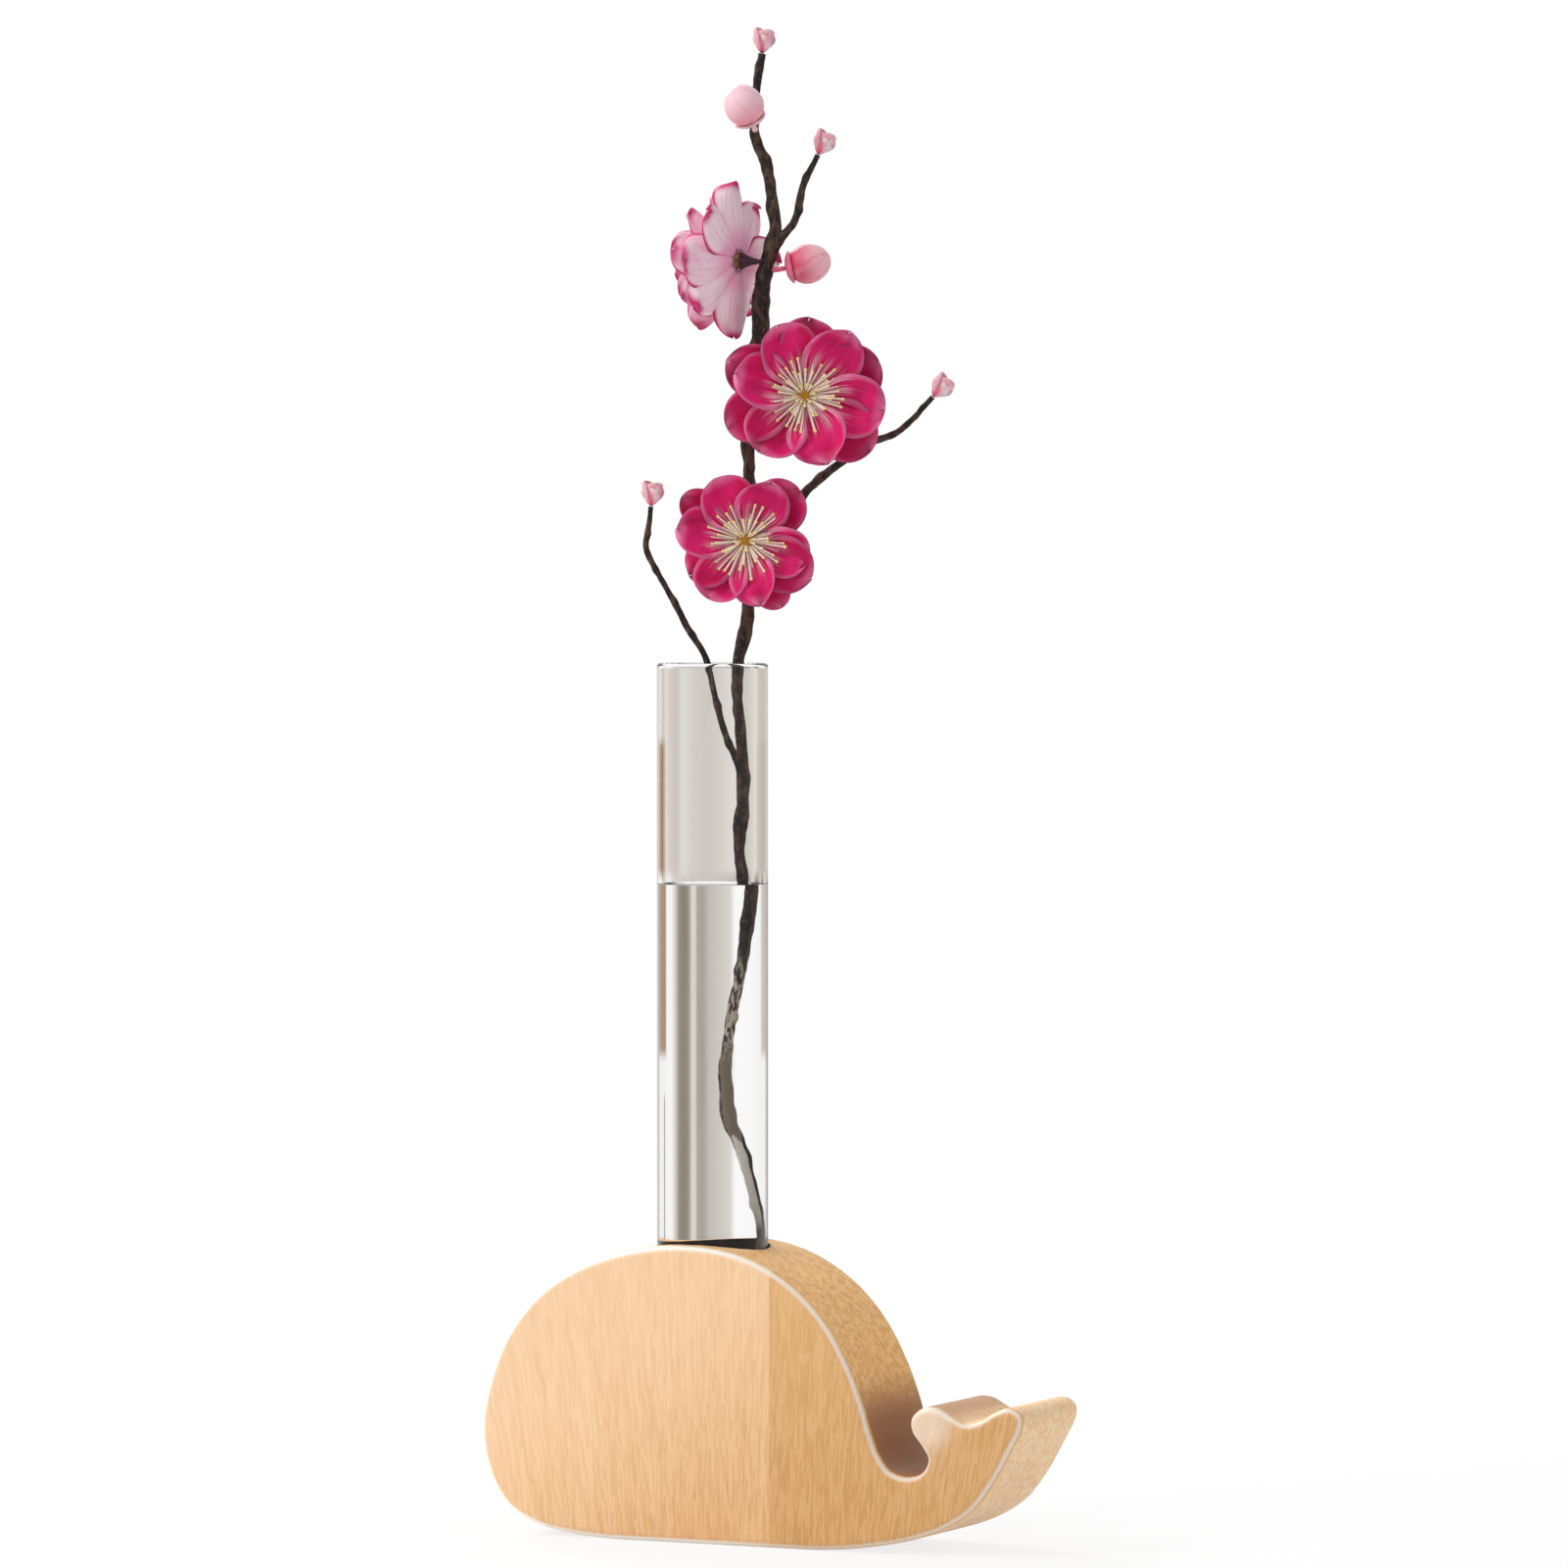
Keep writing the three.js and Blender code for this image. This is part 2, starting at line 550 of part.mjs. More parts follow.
function budGeometry(bud) {
  const steps = facets.budSteps;
  const profile = Array.from({ length: steps + 1 }, (_, i) =>
    [budHalfWidth(bud, i / steps), (bud.length * i) / steps]);
  return closedGeometry(revolved(profileOf(profile), facets.bud, calyx.lobes, budFoldShare));
}

// The cup that a round bud sits in, with the bud's own curve inside it
function budCup(bud) {
  const steps = facets.cupSteps;
  const shares = Array.from({ length: steps + 1 }, (_, i) => (budCalyxDepthShare * i) / steps);
  const outer = shares.map((share) =>
    [budHalfWidth(bud, share) + joinGap + budCalyx.wall, bud.length * share - budCalyx.wall]);
  const inner = shares.map((share) => [budHalfWidth(bud, share) + joinGap, bud.length * share - joinGap]);
  const bottom = -joinGap - 2 * budCalyx.wall;
  return revolved(profileOf([[0, bottom], ...outer, ...inner.reverse(), [0, -joinGap]]), facets.bud);
}

// A small opening bud with four lobes, standing on a twig's end
function tipBudGeometry() {
  const sides = tipBudProfileShares.map(([out, up]) => [(out * tipBud.width) / 2, up * tipBud.length]);
  const bud = revolved(profileOf([[0, 0], ...sides]), facets.tipBud, tipBud.lobes, tipBud.lobeShare);
  return closedGeometry(bud);
}

// The turn that carries +Z to a heading and keeps +Y as upright as it can be
function facing(heading) {
  const side = point(0, 0, 1).cross(heading).normalize();
  const up = heading.clone().cross(side);
  return new THREE.Matrix4().makeBasis(side, up, heading);
}

const headingOf = ([side, front, up]) => point(side, -front, up).normalize();

// The base of a blossom or bud that stands off the stem, clear of the bark by its pedicel
function seatOf(item, depth) {
  const stem = stemAt(rimZ + item.stemShare * branch.crownHeight);
  const heading = headingOf(item.heading);
  const clear = heading.y < 0 ? stem.radius + joinGap + item.pedicel - depth * heading.y : 0;
  const offset = point(item.sideShare * branch.reach, -clear, item.upShare * branch.reach);
  return { stem, heading, base: stem.centre.clone().add(offset) };
}

// A short stalk from the bark to the back of a calyx, rounded into the calyx's heading
function stalkGeometry(seat, depth, radius) {
  const end = seat.base.clone().addScaledVector(seat.heading, -depth);
  const away = end.clone().sub(seat.stem.centre).setZ(0).normalize();
  const start = seat.stem.centre.clone().addScaledVector(away, seat.stem.radius + branch.stalkGap);
  const inside = end.clone().addScaledVector(seat.heading, radius);
  return limb([start, end, inside], [radius, radius, radius], facets.stalk, facets.stalkSteps);
}

const model = new THREE.Group();
const branchGroup = new THREE.Group();
branchGroup.rotation.z = degrees(branch.turn);
model.add(branchGroup);

const finish = (color, roughness, metalness = 0) =>
  new THREE.MeshStandardMaterial({ color, roughness, metalness });
const beech = finish(0xe0b684, 0.6);
const darkBeech = finish(0xd9a468, 0.6);
const nickel = finish(0xb8b8ba, 0.3, 1);
const clearGlass = finish(0xe8efee, 0.05);
clearGlass.transparent = true;
clearGlass.opacity = 0.35;
const bark = finish(0x2c201c, 0.85);
const sepal = finish(0x7a1f33, 0.7);
const magenta = finish(0xd3246c, 0.6);
const palePink = finish(0xf3b7d0, 0.6);
const pollen = finish(0xe9d27c, 0.7);
const budPink = finish(0xf2a0b4, 0.6);

function place(group, name, geometry, material) {
  geometry.computeVertexNormals();
  const mesh = new THREE.Mesh(geometry, material);
  mesh.name = name;
  group.add(mesh);
  return mesh;
}

place(model, 'head_block', toGeometry(headBlock), beech);
place(model, 'tail_block', toGeometry(tailBlock), darkBeech);
place(model, 'magnet_left', magnetGeometry(magnetPlaces[0]), nickel);
place(model, 'magnet_right', magnetGeometry(magnetPlaces[1]), nickel);
place(model, 'glass_tube', tubeGeometry(), clearGlass);
place(branchGroup, 'plum_branch', toGeometry(branchWood()), bark);

function addCalyx(name, item, cup, depth, radius, material) {
  const seat = seatOf(item, depth);
  const turn = facing(seat.heading).setPosition(seat.base);
  cup.applyMatrix4(turn);
  const stalk = toSolid(stalkGeometry(seat, depth, radius));
  place(branchGroup, name, toGeometry(toSolid(cup).add(stalk)), material);
  const group = new THREE.Group();
  group.applyMatrix4(turn);
  branchGroup.add(group);
  return group;
}

blossoms.forEach((bloom) => {
  const colour = bloom.name === 'side' ? palePink : magenta;
  const group = addCalyx(`${bloom.name}_calyx`, bloom, calyxCup(), calyx.depth, calyx.stalkRadius, sepal);
  place(group, `${bloom.name}_corolla`, corollaGeometry(bloom), colour);
  place(group, `${bloom.name}_stamens`, stamensGeometry(bloom), pollen);
});

roundBuds.forEach((bud) => {
  const depth = joinGap + 2 * budCalyx.wall;
  const group = addCalyx(`${bud.name}_calyx`, bud, budCup(bud.size), depth, budCalyx.stalkRadius, sepal);
  place(group, bud.name, budGeometry(bud.size), budPink);
});

const twigEnds = { top: stemRoute, left: leftTwigRoute, right: rightTwigRoute, upper: upperTwigRoute };
Object.entries(twigEnds).forEach(([name, route]) => {
  const end = route.at(-1);
  const heading = end.clone().sub(route.at(-2)).normalize();
  const group = new THREE.Group();
  group.applyMatrix4(facing(heading).setPosition(end.clone().addScaledVector(heading, joinGap)));
  branchGroup.add(group);
  place(group, `${name}_tip_bud`, tipBudGeometry(), budPink);
});

export default model;
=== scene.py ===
"""A whale-shaped wooden block with a glass tube of water and a plum-blossom branch.

Metres. The block's face looks along -Y, Z is up, and the tube's axis stands over the origin.
"""

import math

import bpy
import numpy as np
from mathutils import Matrix, Vector, noise


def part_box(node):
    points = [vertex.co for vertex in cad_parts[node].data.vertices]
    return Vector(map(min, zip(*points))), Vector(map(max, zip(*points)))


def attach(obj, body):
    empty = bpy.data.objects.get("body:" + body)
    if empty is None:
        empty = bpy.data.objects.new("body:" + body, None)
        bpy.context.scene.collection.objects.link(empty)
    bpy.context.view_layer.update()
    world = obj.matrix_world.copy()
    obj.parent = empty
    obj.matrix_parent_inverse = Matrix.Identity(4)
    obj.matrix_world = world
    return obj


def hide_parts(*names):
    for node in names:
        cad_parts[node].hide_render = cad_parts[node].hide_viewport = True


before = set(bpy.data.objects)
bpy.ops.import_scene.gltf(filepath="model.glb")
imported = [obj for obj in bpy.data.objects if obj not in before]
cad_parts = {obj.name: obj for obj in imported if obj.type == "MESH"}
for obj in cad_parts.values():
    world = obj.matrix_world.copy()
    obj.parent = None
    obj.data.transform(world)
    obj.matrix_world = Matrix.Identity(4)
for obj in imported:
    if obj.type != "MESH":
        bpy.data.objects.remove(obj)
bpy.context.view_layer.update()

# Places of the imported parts
head_low, head_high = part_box("head_block")
tail_low, tail_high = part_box("tail_block")
tube_low, tube_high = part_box("glass_tube")
magnet_boxes = {name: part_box(name) for name in ("magnet_left", "magnet_right")}

# Block
BLOCK_LENGTH = tail_high.x - head_low.x
BLOCK_HEIGHT = head_high.z
BLOCK_THICKNESS = head_high.y - head_low.y
SEAM_X = head_high.x
EDGE_RADIUS = 0.0016
# Centres of the painted shade in the valley and of the painted highlight round the tail lobe
VALLEY = (head_low.x + 0.78 * BLOCK_LENGTH, 0.38 * BLOCK_HEIGHT, 0)
TAIL_LOBE = (head_low.x + 0.825 * BLOCK_LENGTH, 0.44 * BLOCK_HEIGHT, 0)
TAIL_START = head_low.x + 0.8 * BLOCK_LENGTH
BORE_CLEARANCE = 0.0003
BORE_FLOOR = 0.0071
RECESS_CLEARANCE = 0.0003

# Tube and water
TUBE_RADIUS = (tube_high.x - tube_low.x) / 2
TUBE_WALL = 0.0012
BORE_RADIUS = TUBE_RADIUS + BORE_CLEARANCE
INNER_RADIUS = TUBE_RADIUS - TUBE_WALL
RIM_HEIGHT = tube_high.z
WATER_HEIGHT = 0.1176
WATER_OVERLAP = 0.00015
MENISCUS = 0.0002
SUPPORT_STEP = 0.0004

# Branch, whose plane is turned to face the camera
BRANCH_TURN = math.radians(25.5)
STEM_RADIUS = 0.0017
BRANCH_REACH = 0.040
CROWN_HEIGHT = 0.1094
FOOT_GAP = 0.0005
FOOT_SHARE = 0.42
JOIN_GAP = 0.0003
BARK_RELIEF = 0.2
KNOT_SWELL = 0.42
KNOT_TURN = 2.4
TUBE_FLOOR = tube_low.z + TUBE_RADIUS
FOOT_RADIUS = STEM_RADIUS * FOOT_SHARE
FOOT_HEIGHT = TUBE_FLOOR - math.sqrt(INNER_RADIUS**2 - FOOT_RADIUS**2) + FOOT_GAP
PEELED_HEIGHT = 0.0705
GREY_FOOT_HEIGHT = 0.055

# Blossoms and buds
PETAL_ROOT = 0.0017
PETAL_THICKNESS = 0.0004
PETAL_CUP = 0.36
PETAL_RUFFLE = 0.19
LEAN_SWAY = 7
BACK_RING_DROP = 0.0003
CALYX_RADIUS = 0.0019
CALYX_DEPTH = 0.0032
CALYX_STALK_SHARE = 0.37
CALYX_LOBE_SHARE = 0.24
CALYX_PROFILE = [(0.62, 0.28), (0.86, 0.5), (0.98, 0.7), (1.26, 0.88), (1.34, 0.94), (1.1, 1)]
CUP_WALL = 0.00035
BUD_STALK = 0.00045
CUP_DEPTH_SHARE = 0.13
TIP_BUD_WIDTH = 0.0044
TIP_BUD_LENGTH = 0.0054
TIP_BUD_PETALS = 5
TIP_BUD_LEAN = (60, 78)
STAMEN_LENGTH = 0.0066
STAMEN_RADIUS = 0.00016
DOME_RADIUS = 0.0015
DOME_HEIGHT = 0.0015
ANTHER_MARK = 2.0
DOME_MARK = 3.0
COROLLA_SEAT = 0.0009
CROWN_LIFT = 0.0004

# Outline of the block, from where its underside ends at the tail, round to where it starts at the head,
# as shares of the length from the nose and of the height
OUTLINE_SHARES = [
    (0.619, 0), (0.665, 0.006), (0.712, 0.017), (0.791, 0.047), (0.856, 0.092), (0.908, 0.158),
    (0.945, 0.251), (0.975, 0.355), (0.997, 0.443), (0.995, 0.482), (0.975, 0.505), (0.947, 0.488),
    (0.919, 0.456), (0.895, 0.447), (0.870, 0.467), (0.844, 0.493), (0.818, 0.492), (0.797, 0.456),
    (0.798, 0.411), (0.816, 0.362), (0.827, 0.319), (0.815, 0.276), (0.788, 0.261), (0.760, 0.276),
    (0.740, 0.323), (0.724, 0.398), (0.709, 0.493), (0.686, 0.606), (0.645, 0.747), (0.582, 0.874),
    (0.498, 0.964), (0.400, 1), (0.297, 0.985), (0.195, 0.925), (0.111, 0.824), (0.048, 0.674),
    (0.011, 0.493), (0, 0.347), (0.013, 0.210), (0.050, 0.094), (0.106, 0.036), (0.181, 0.009), (0.246, 0),
]

# Stem below the rim: side and front as shares of the bore, height as a share of foot to rim, thickness
# as a share of the stem's radius
STEM_IN_TUBE = [
    (0, 0, 0, FOOT_SHARE), (0.2, 0.03, 0.09, 0.44), (0.57, 0.07, 0.21, 0.45), (0.8, 0.03, 0.305, 0.47),
    (0.62, 0, 0.365, 0.48), (0.4, 0, 0.42, 0.52), (0.26, -0.02, 0.445, 0.62), (0.2, 0, 0.5, 0.52),
    (0.22, 0.02, 0.526, 0.44), (0.3, 0.03, 0.576, 0.43), (0.43, 0.05, 0.62, 0.46), (0.55, 0.03, 0.683, 0.58),
    (0.62, 0, 0.73, 0.6), (0.55, -0.02, 0.772, 0.58), (0.6, 0, 0.814, 0.7), (0.62, 0.02, 0.854, 0.66),
    (0.59, 0.02, 0.91, 0.54), (0.5, 0, 0.964, 0.56),
]
# Above the rim: side and front as shares of the reach, height as a share of rim to top
STEM_ABOVE = [
    (0.118, 0, 0.005, 0.64), (0.16, 0, 0.084, 0.7), (0.165, 0, 0.2, 0.62), (0.165, 0, 0.31, 0.62),
    (0.162, 0, 0.37, 0.65), (0.183, -0.005, 0.444, 0.74), (0.215, -0.008, 0.534, 0.9),
    (0.218, 0, 0.592, 0.9), (0.232, 0.005, 0.636, 0.84), (0.262, 0.005, 0.682, 0.72), (0.282, 0, 0.72, 0.64),
    (0.268, 0, 0.764, 0.6), (0.242, 0, 0.816, 0.58), (0.192, 0, 0.864, 0.54), (0.19, -0.005, 0.9, 0.48),
    (0.2, 0, 0.948, 0.45), (0.222, 0, 1, 0.42),
]
LEFT_TWIG_IN_TUBE = [
    (0.6, 0.02, 0.862, 0.42), (0.46, 0.1, 0.888, 0.4), (0.3, 0.14, 0.908, 0.36), (0.08, 0.14, 0.952, 0.34),
]
LEFT_TWIG_ABOVE = [
    (-0.033, 0.02, 0.01, 0.34), (-0.112, 0.02, 0.058, 0.34), (-0.174, 0.02, 0.102, 0.32),
    (-0.244, 0.01, 0.147, 0.31), (-0.298, 0, 0.19, 0.32), (-0.288, 0, 0.22, 0.3), (-0.276, 0, 0.257, 0.26),
]
RIGHT_TWIG = [
    (0.167, 0, 0.148, 0.4), (0.26, -0.06, 0.2, 0.5), (0.372, -0.06, 0.257, 0.54), (0.424, -0.05, 0.283, 0.48),
    (0.504, -0.03, 0.309, 0.46), (0.606, -0.02, 0.338, 0.44), (0.676, -0.01, 0.357, 0.4),
    (0.828, 0, 0.379, 0.36), (0.9, 0, 0.401, 0.32), (0.99, 0, 0.437, 0.28),
]
UPPER_TWIG = [
    (0.245, 0, 0.644, 0.5), (0.272, 0.01, 0.672, 0.5), (0.312, 0.01, 0.698, 0.44), (0.372, 0, 0.727, 0.4),
    (0.393, 0, 0.76, 0.42), (0.414, 0, 0.79, 0.36), (0.474, 0, 0.834, 0.3),
]

# Rings of petals: name, how deep their colour is as painted shade for petals lying behind others, and twist
# in degrees
DOUBLE_RINGS = (("front", 0.0, 10), ("back", 0.7, 6))
# Crown of stamens, ring by ring: count, radius of the roots, share of the lean, spread, share of the length
CROWN_RINGS = [(32, 0.0010, 0, 0.14, 1), (22, 0.0008, 0.5, 0.16, 0.8), (12, 0.0006, 1, 0.2, 0.5)]
DOME_PROFILE = [(0, 0), (1, 0), (0.95, 0.4), (0.75, 0.75), (0.4, 0.95), (0, 1)]

# Petals: turn round the blossom in shares of a full turn, then length and width shares. Leans in degrees
BLOSSOMS = [
    {
        "name": "upper", "stem_share": 0.437, "side": 0.0092, "pedicel": 0.0005, "heading": (0.06, 1, 0.04),
        "length": 0.0132, "width": 0.0116,
        "front_lean": (26, 10), "back_lean": (12, 2), "stamen_lean": (24, 66),
        "front": [
            (0.322, 0.94, 0.96), (0.161, 0.98, 0.94), (0.975, 1, 1), (0.811, 0.92, 0.96), (0.647, 0.9, 1),
            (0.466, 0.96, 0.9),
        ],
        "back": [
            (0.44, 1.06, 0.9), (0.56, 1.02, 0.9), (0.89, 1.06, 0.96), (0.07, 1, 0.96), (0.24, 0.94, 0.96),
        ],
    },
    {
        "name": "lower", "stem_share": 0.201, "side": -0.0006, "pedicel": 0.0008, "heading": (-0.04, 1, 0),
        "length": 0.0114, "width": 0.0104,
        "front_lean": (26, 10), "back_lean": (12, 2), "stamen_lean": (24, 66),
        "front": [
            (0.328, 0.98, 1), (0.189, 0.92, 0.96), (0.964, 0.92, 0.9), (0.8, 0.98, 0.84), (0.667, 0.96, 0.96),
            (0.484, 1.02, 0.92),
        ],
        "back": [(0.92, 1.08, 1), (0.83, 1.06, 0.72), (0.13, 1.04, 1), (0.405, 1.08, 0.72), (0.59, 0.9, 0.9)],
    },
    {
        "name": "side", "stem_share": 0.66, "side": -0.0046, "pedicel": 0, "heading": (-0.84, -0.54, 0.05),
        "length": 0.0126, "width": 0.0100,
        "front_lean": (26, 44), "back_lean": (2, 16), "stamen_lean": (70, 84),
        "inner_lean": (50, 70), "calyx_share": 0.55,
        "rings": (("front", 0.5, 10), ("back", 0.0, 6), ("inner", 0.7, 12)),
        "front": [
            (0.04, 0.96, 0.9), (0.17, 0.9, 0.8), (0.3, 0.98, 0.86), (0.42, 0.88, 0.76), (0.55, 0.94, 0.9),
            (0.68, 0.88, 0.8), (0.8, 1, 0.86), (0.91, 0.9, 0.8),
        ],
        "inner": [
            (0.1, 0.86, 0.7), (0.25, 0.8, 0.66), (0.4, 0.88, 0.7), (0.54, 0.8, 0.66), (0.7, 0.86, 0.7),
            (0.84, 0.8, 0.66), (0.97, 0.84, 0.7),
        ],
        "back": [
            (0.0, 0.98, 1), (0.12, 0.9, 0.92), (0.25, 1, 0.96), (0.37, 0.9, 1), (0.5, 0.96, 0.92),
            (0.63, 0.88, 1), (0.75, 0.98, 0.94), (0.88, 0.9, 1),
        ],
    },
]
ROUND_BUDS = [
    {
        "name": "pale_bud", "stem_share": 0.875, "side": -0.0005, "up": 0.001, "pedicel": 0.0034,
        "heading": (-0.4, 0.42, 0.82), "width": 0.0072, "length": 0.0076,
    },
    {
        "name": "pink_bud", "stem_share": 0.645, "side": 0.0039, "up": 0.0004, "pedicel": 0,
        "heading": (1, 0, 0.2), "width": 0.0072, "length": 0.008,
    },
]


def shade(red, green, blue):
    """A colour written from 0 to 255 as on a screen, in the shader's linear values."""
    parts = [c / 255 for c in (red, green, blue)]
    return tuple(p / 12.92 if p <= 0.04045 else ((p + 0.055) / 1.055) ** 2.4 for p in parts) + (1.0,)


class Term:
    """One output of a node. An expression on terms adds the Math nodes that work it out."""

    def __init__(self, nodes, socket):
        self.nodes, self.socket = nodes, socket

    def _math(self, operation, first, second):
        return self.nodes.node("ShaderNodeMath", {"operation": operation}, {0: first, 1: second})

    def __add__(self, other):
        return self._math("ADD", self, other)

    def __radd__(self, other):
        return self._math("ADD", other, self)

    def __sub__(self, other):
        return self._math("SUBTRACT", self, other)

    def __rsub__(self, other):
        return self._math("SUBTRACT", other, self)

    def __mul__(self, other):
        return self._math("MULTIPLY", self, other)

    def __rmul__(self, other):
        return self._math("MULTIPLY", other, self)

    def __truediv__(self, other):
        return self._math("DIVIDE", self, other)


class Nodes:
    """A node tree, with one way to add any node to it."""

    def __init__(self, tree):
        self.tree = tree

    def feed(self, socket, value):
        if isinstance(value, Term):
            self.tree.links.new(value.socket, socket)
        else:
            socket.default_value = value

    def node(self, kind, settings=None, sockets=None, output=0):
        made = self.tree.nodes.new(kind)
        for name, value in (settings or {}).items():
            if name == "stops":
                ramp = made.color_ramp
                while len(ramp.elements) < len(value):
                    ramp.elements.new(1)
                for element, (position, colour) in zip(ramp.elements, value):
                    element.position, element.color = position, colour
            else:
                setattr(made, name, value)
        for key, value in (sockets or {}).items():
            self.feed(made.inputs[key], value)
        return Term(self, made.outputs[output])

    def mix(self, share, first, second):
        return self.node("ShaderNodeMix", {"data_type": "RGBA"}, {0: share, 6: first, 7: second}, 2)

    def ramp(self, value, stops):
        return self.node("ShaderNodeValToRGB", {"stops": stops}, {"Fac": value})

    def rise(self, value, low, high):
        """0 below low, 1 above high, and smooth between."""
        return self.node(
            "ShaderNodeMapRange", {"interpolation_type": "SMOOTHSTEP"},
            {"Value": value, "From Min": low, "From Max": high},
        )


class Look(Nodes):
    """A material, drawn on the piece's own place."""

    def __init__(self, name, **constants):
        self.material = bpy.data.materials.new(name)
        self.material.use_nodes = True
        super().__init__(self.material.node_tree)
        self.shader = self.tree.nodes["Principled BSDF"]
        self.place = self.node("ShaderNodeTexCoord", output="Object")
        for key, value in constants.items():
            self.set(key.replace("_", " ").title().replace("Ior", "IOR"), value)

    def set(self, socket, value):
        self.feed(self.shader.inputs[socket], value)

    def grain(self, sizes, detail=3.0, distortion=0.0, source=None):
        """Noise whose features have these sizes along X, Y and Z."""
        stretched = self.node(
            "ShaderNodeVectorMath", {"operation": "MULTIPLY"},
            {0: source or self.place, 1: [1 / size for size in sizes]},
        )
        return self.node(
            "ShaderNodeTexNoise", {},
            {"Vector": stretched, "Scale": 1.0, "Detail": detail, "Distortion": distortion},
        )

    def flat(self, first, second):
        """A place in a plane, from its two coordinates."""
        return self.node("ShaderNodeCombineXYZ", {}, {0: first, 1: second})

    def mark(self):
        return self.node("ShaderNodeAttribute", {"attribute_name": "mark"}, output="Fac")

    def chart(self):
        """Across and along, from 0 to 1, on a petal."""
        chart = self.node("ShaderNodeUVMap", {"uv_map": "chart"})
        parts = self.node("ShaderNodeSeparateXYZ", {}, {0: chart})
        return parts, Term(self, parts.socket.node.outputs[1]), chart

    def relief(self, height, depth, strength=1.0):
        bump = self.node("ShaderNodeBump", {}, {"Height": height, "Distance": depth, "Strength": strength})
        self.set("Normal", bump)


def beech(name, pale, warm, dark):
    """Steamed beech: short wavy upright fibres that fan out, a mottled sawn edge, painted shade in the valley
    and the bore, and painted highlights on the tail lobe and the rounded edges.
    """
    look = Look(name, roughness=0.52, coat_weight=0.06, coat_roughness=0.35)
    parts = look.node("ShaderNodeSeparateXYZ", {}, {0: look.place})
    x, y, z = (Term(look, output) for output in parts.socket.node.outputs)
    fan = look.node("ShaderNodeCombineXYZ", {}, {0: x * (1.1 - 4.0 * z) + z * 0.05, 1: y, 2: z})
    drift = look.grain((0.03, 0.03, 0.07), 2, source=fan)
    stripes = look.grain((0.0013, 0.004, 0.02), 3, 0.8, fan)
    fibres = look.grain((0.0004, 0.0006, 0.0048), 4, 0.6, fan)
    flecks = look.rise(look.grain((0.0003, 0.0009, 0.0022), 2, 0.5, fan), 0.6, 0.78)
    low = 1 - look.rise(z - x * 0.4, -0.008, 0.044)
    tone = look.rise(drift * 0.45 + stripes * 0.55, 0.36, 0.64)
    wood = look.mix(tone * 0.3 + low * 0.6, pale, warm)
    wood = look.mix(look.rise(fibres, 0.42, 0.62) * (0.1 + 0.16 * low), wood, dark)
    wood = look.mix(look.rise(fibres, 0.58, 0.4) * 0.12, wood, shade(255, 222, 178))
    wood = look.mix(flecks * (0.12 + 0.16 * low), wood, dark)
    half = BLOCK_THICKNESS / 2
    depth = half - look.node("ShaderNodeMath", {"operation": "ABSOLUTE"}, {0: y})
    valley = look.node("ShaderNodeVectorMath", {"operation": "DISTANCE"}, {0: look.flat(x, z), 1: VALLEY}, 1)
    # Painted highlight: a near-white bloom round the tail lobe
    lobe = look.node("ShaderNodeVectorMath", {"operation": "DISTANCE"}, {0: look.flat(x, z), 1: TAIL_LOBE}, 1)
    wood = look.mix((1 - look.rise(lobe, 0.002, 0.0075)) * 0.6, wood, shade(255, 236, 218))
    cross = look.grain((0.0012, 0.0012, 0.0012), 4, 0.6)
    sawn = look.mix(look.rise(cross, 0.38, 0.64), shade(255, 202, 126), shade(232, 166, 86))
    under = look.rise(x, TAIL_START, TAIL_START + 0.006)
    tail = look.mix(look.rise(cross, 0.4, 0.66), shade(255, 226, 186), shade(246, 200, 150))
    sawn = look.mix(under * 0.85, sawn, tail)
    # Painted shade: the sawn faces darken into the hollow of the valley
    sawn = look.mix(1 - look.rise(valley, 0.0065, 0.015), sawn, shade(160, 100, 44))
    wood = look.mix(look.rise(depth, 0.6 * EDGE_RADIUS, 1.1 * EDGE_RADIUS) * 0.9, wood, sawn)
    # Pale rounded edges: partly sanded paler wood, partly a painted highlight that fades towards the right,
    # away from the lamps
    rim = look.rise(depth, 0.05 * EDGE_RADIUS, 0.25 * EDGE_RADIUS)
    rim = rim * (1 - look.rise(depth, 0.4 * EDGE_RADIUS, 0.75 * EDGE_RADIUS))
    rim = rim * (1 - 0.4 * look.rise(x, 0.004, 0.024))
    wood = look.mix(rim, wood, shade(255, 250, 240))
    # Painted shade: the bore's wall darkens to near-black brown
    axis = look.node("ShaderNodeVectorMath", {"operation": "LENGTH"}, {0: look.flat(x, y)}, 1)
    inside = 1 - look.rise(axis, BORE_RADIUS + 0.5 * BORE_CLEARANCE, BORE_RADIUS + BORE_CLEARANCE)
    look.set("Base Color", look.mix(inside, wood, shade(44, 28, 20)))
    look.relief(fibres + flecks * -0.6, 0.00005, 0.4)
    return look.material


def glass(name, ior):
    look = Look(
        name, base_color=(1, 1, 1, 1), roughness=0.0, transmission_weight=1.0, ior=ior,
        specular_tint=(0.45, 0.45, 0.45, 1),
    )
    return look.material


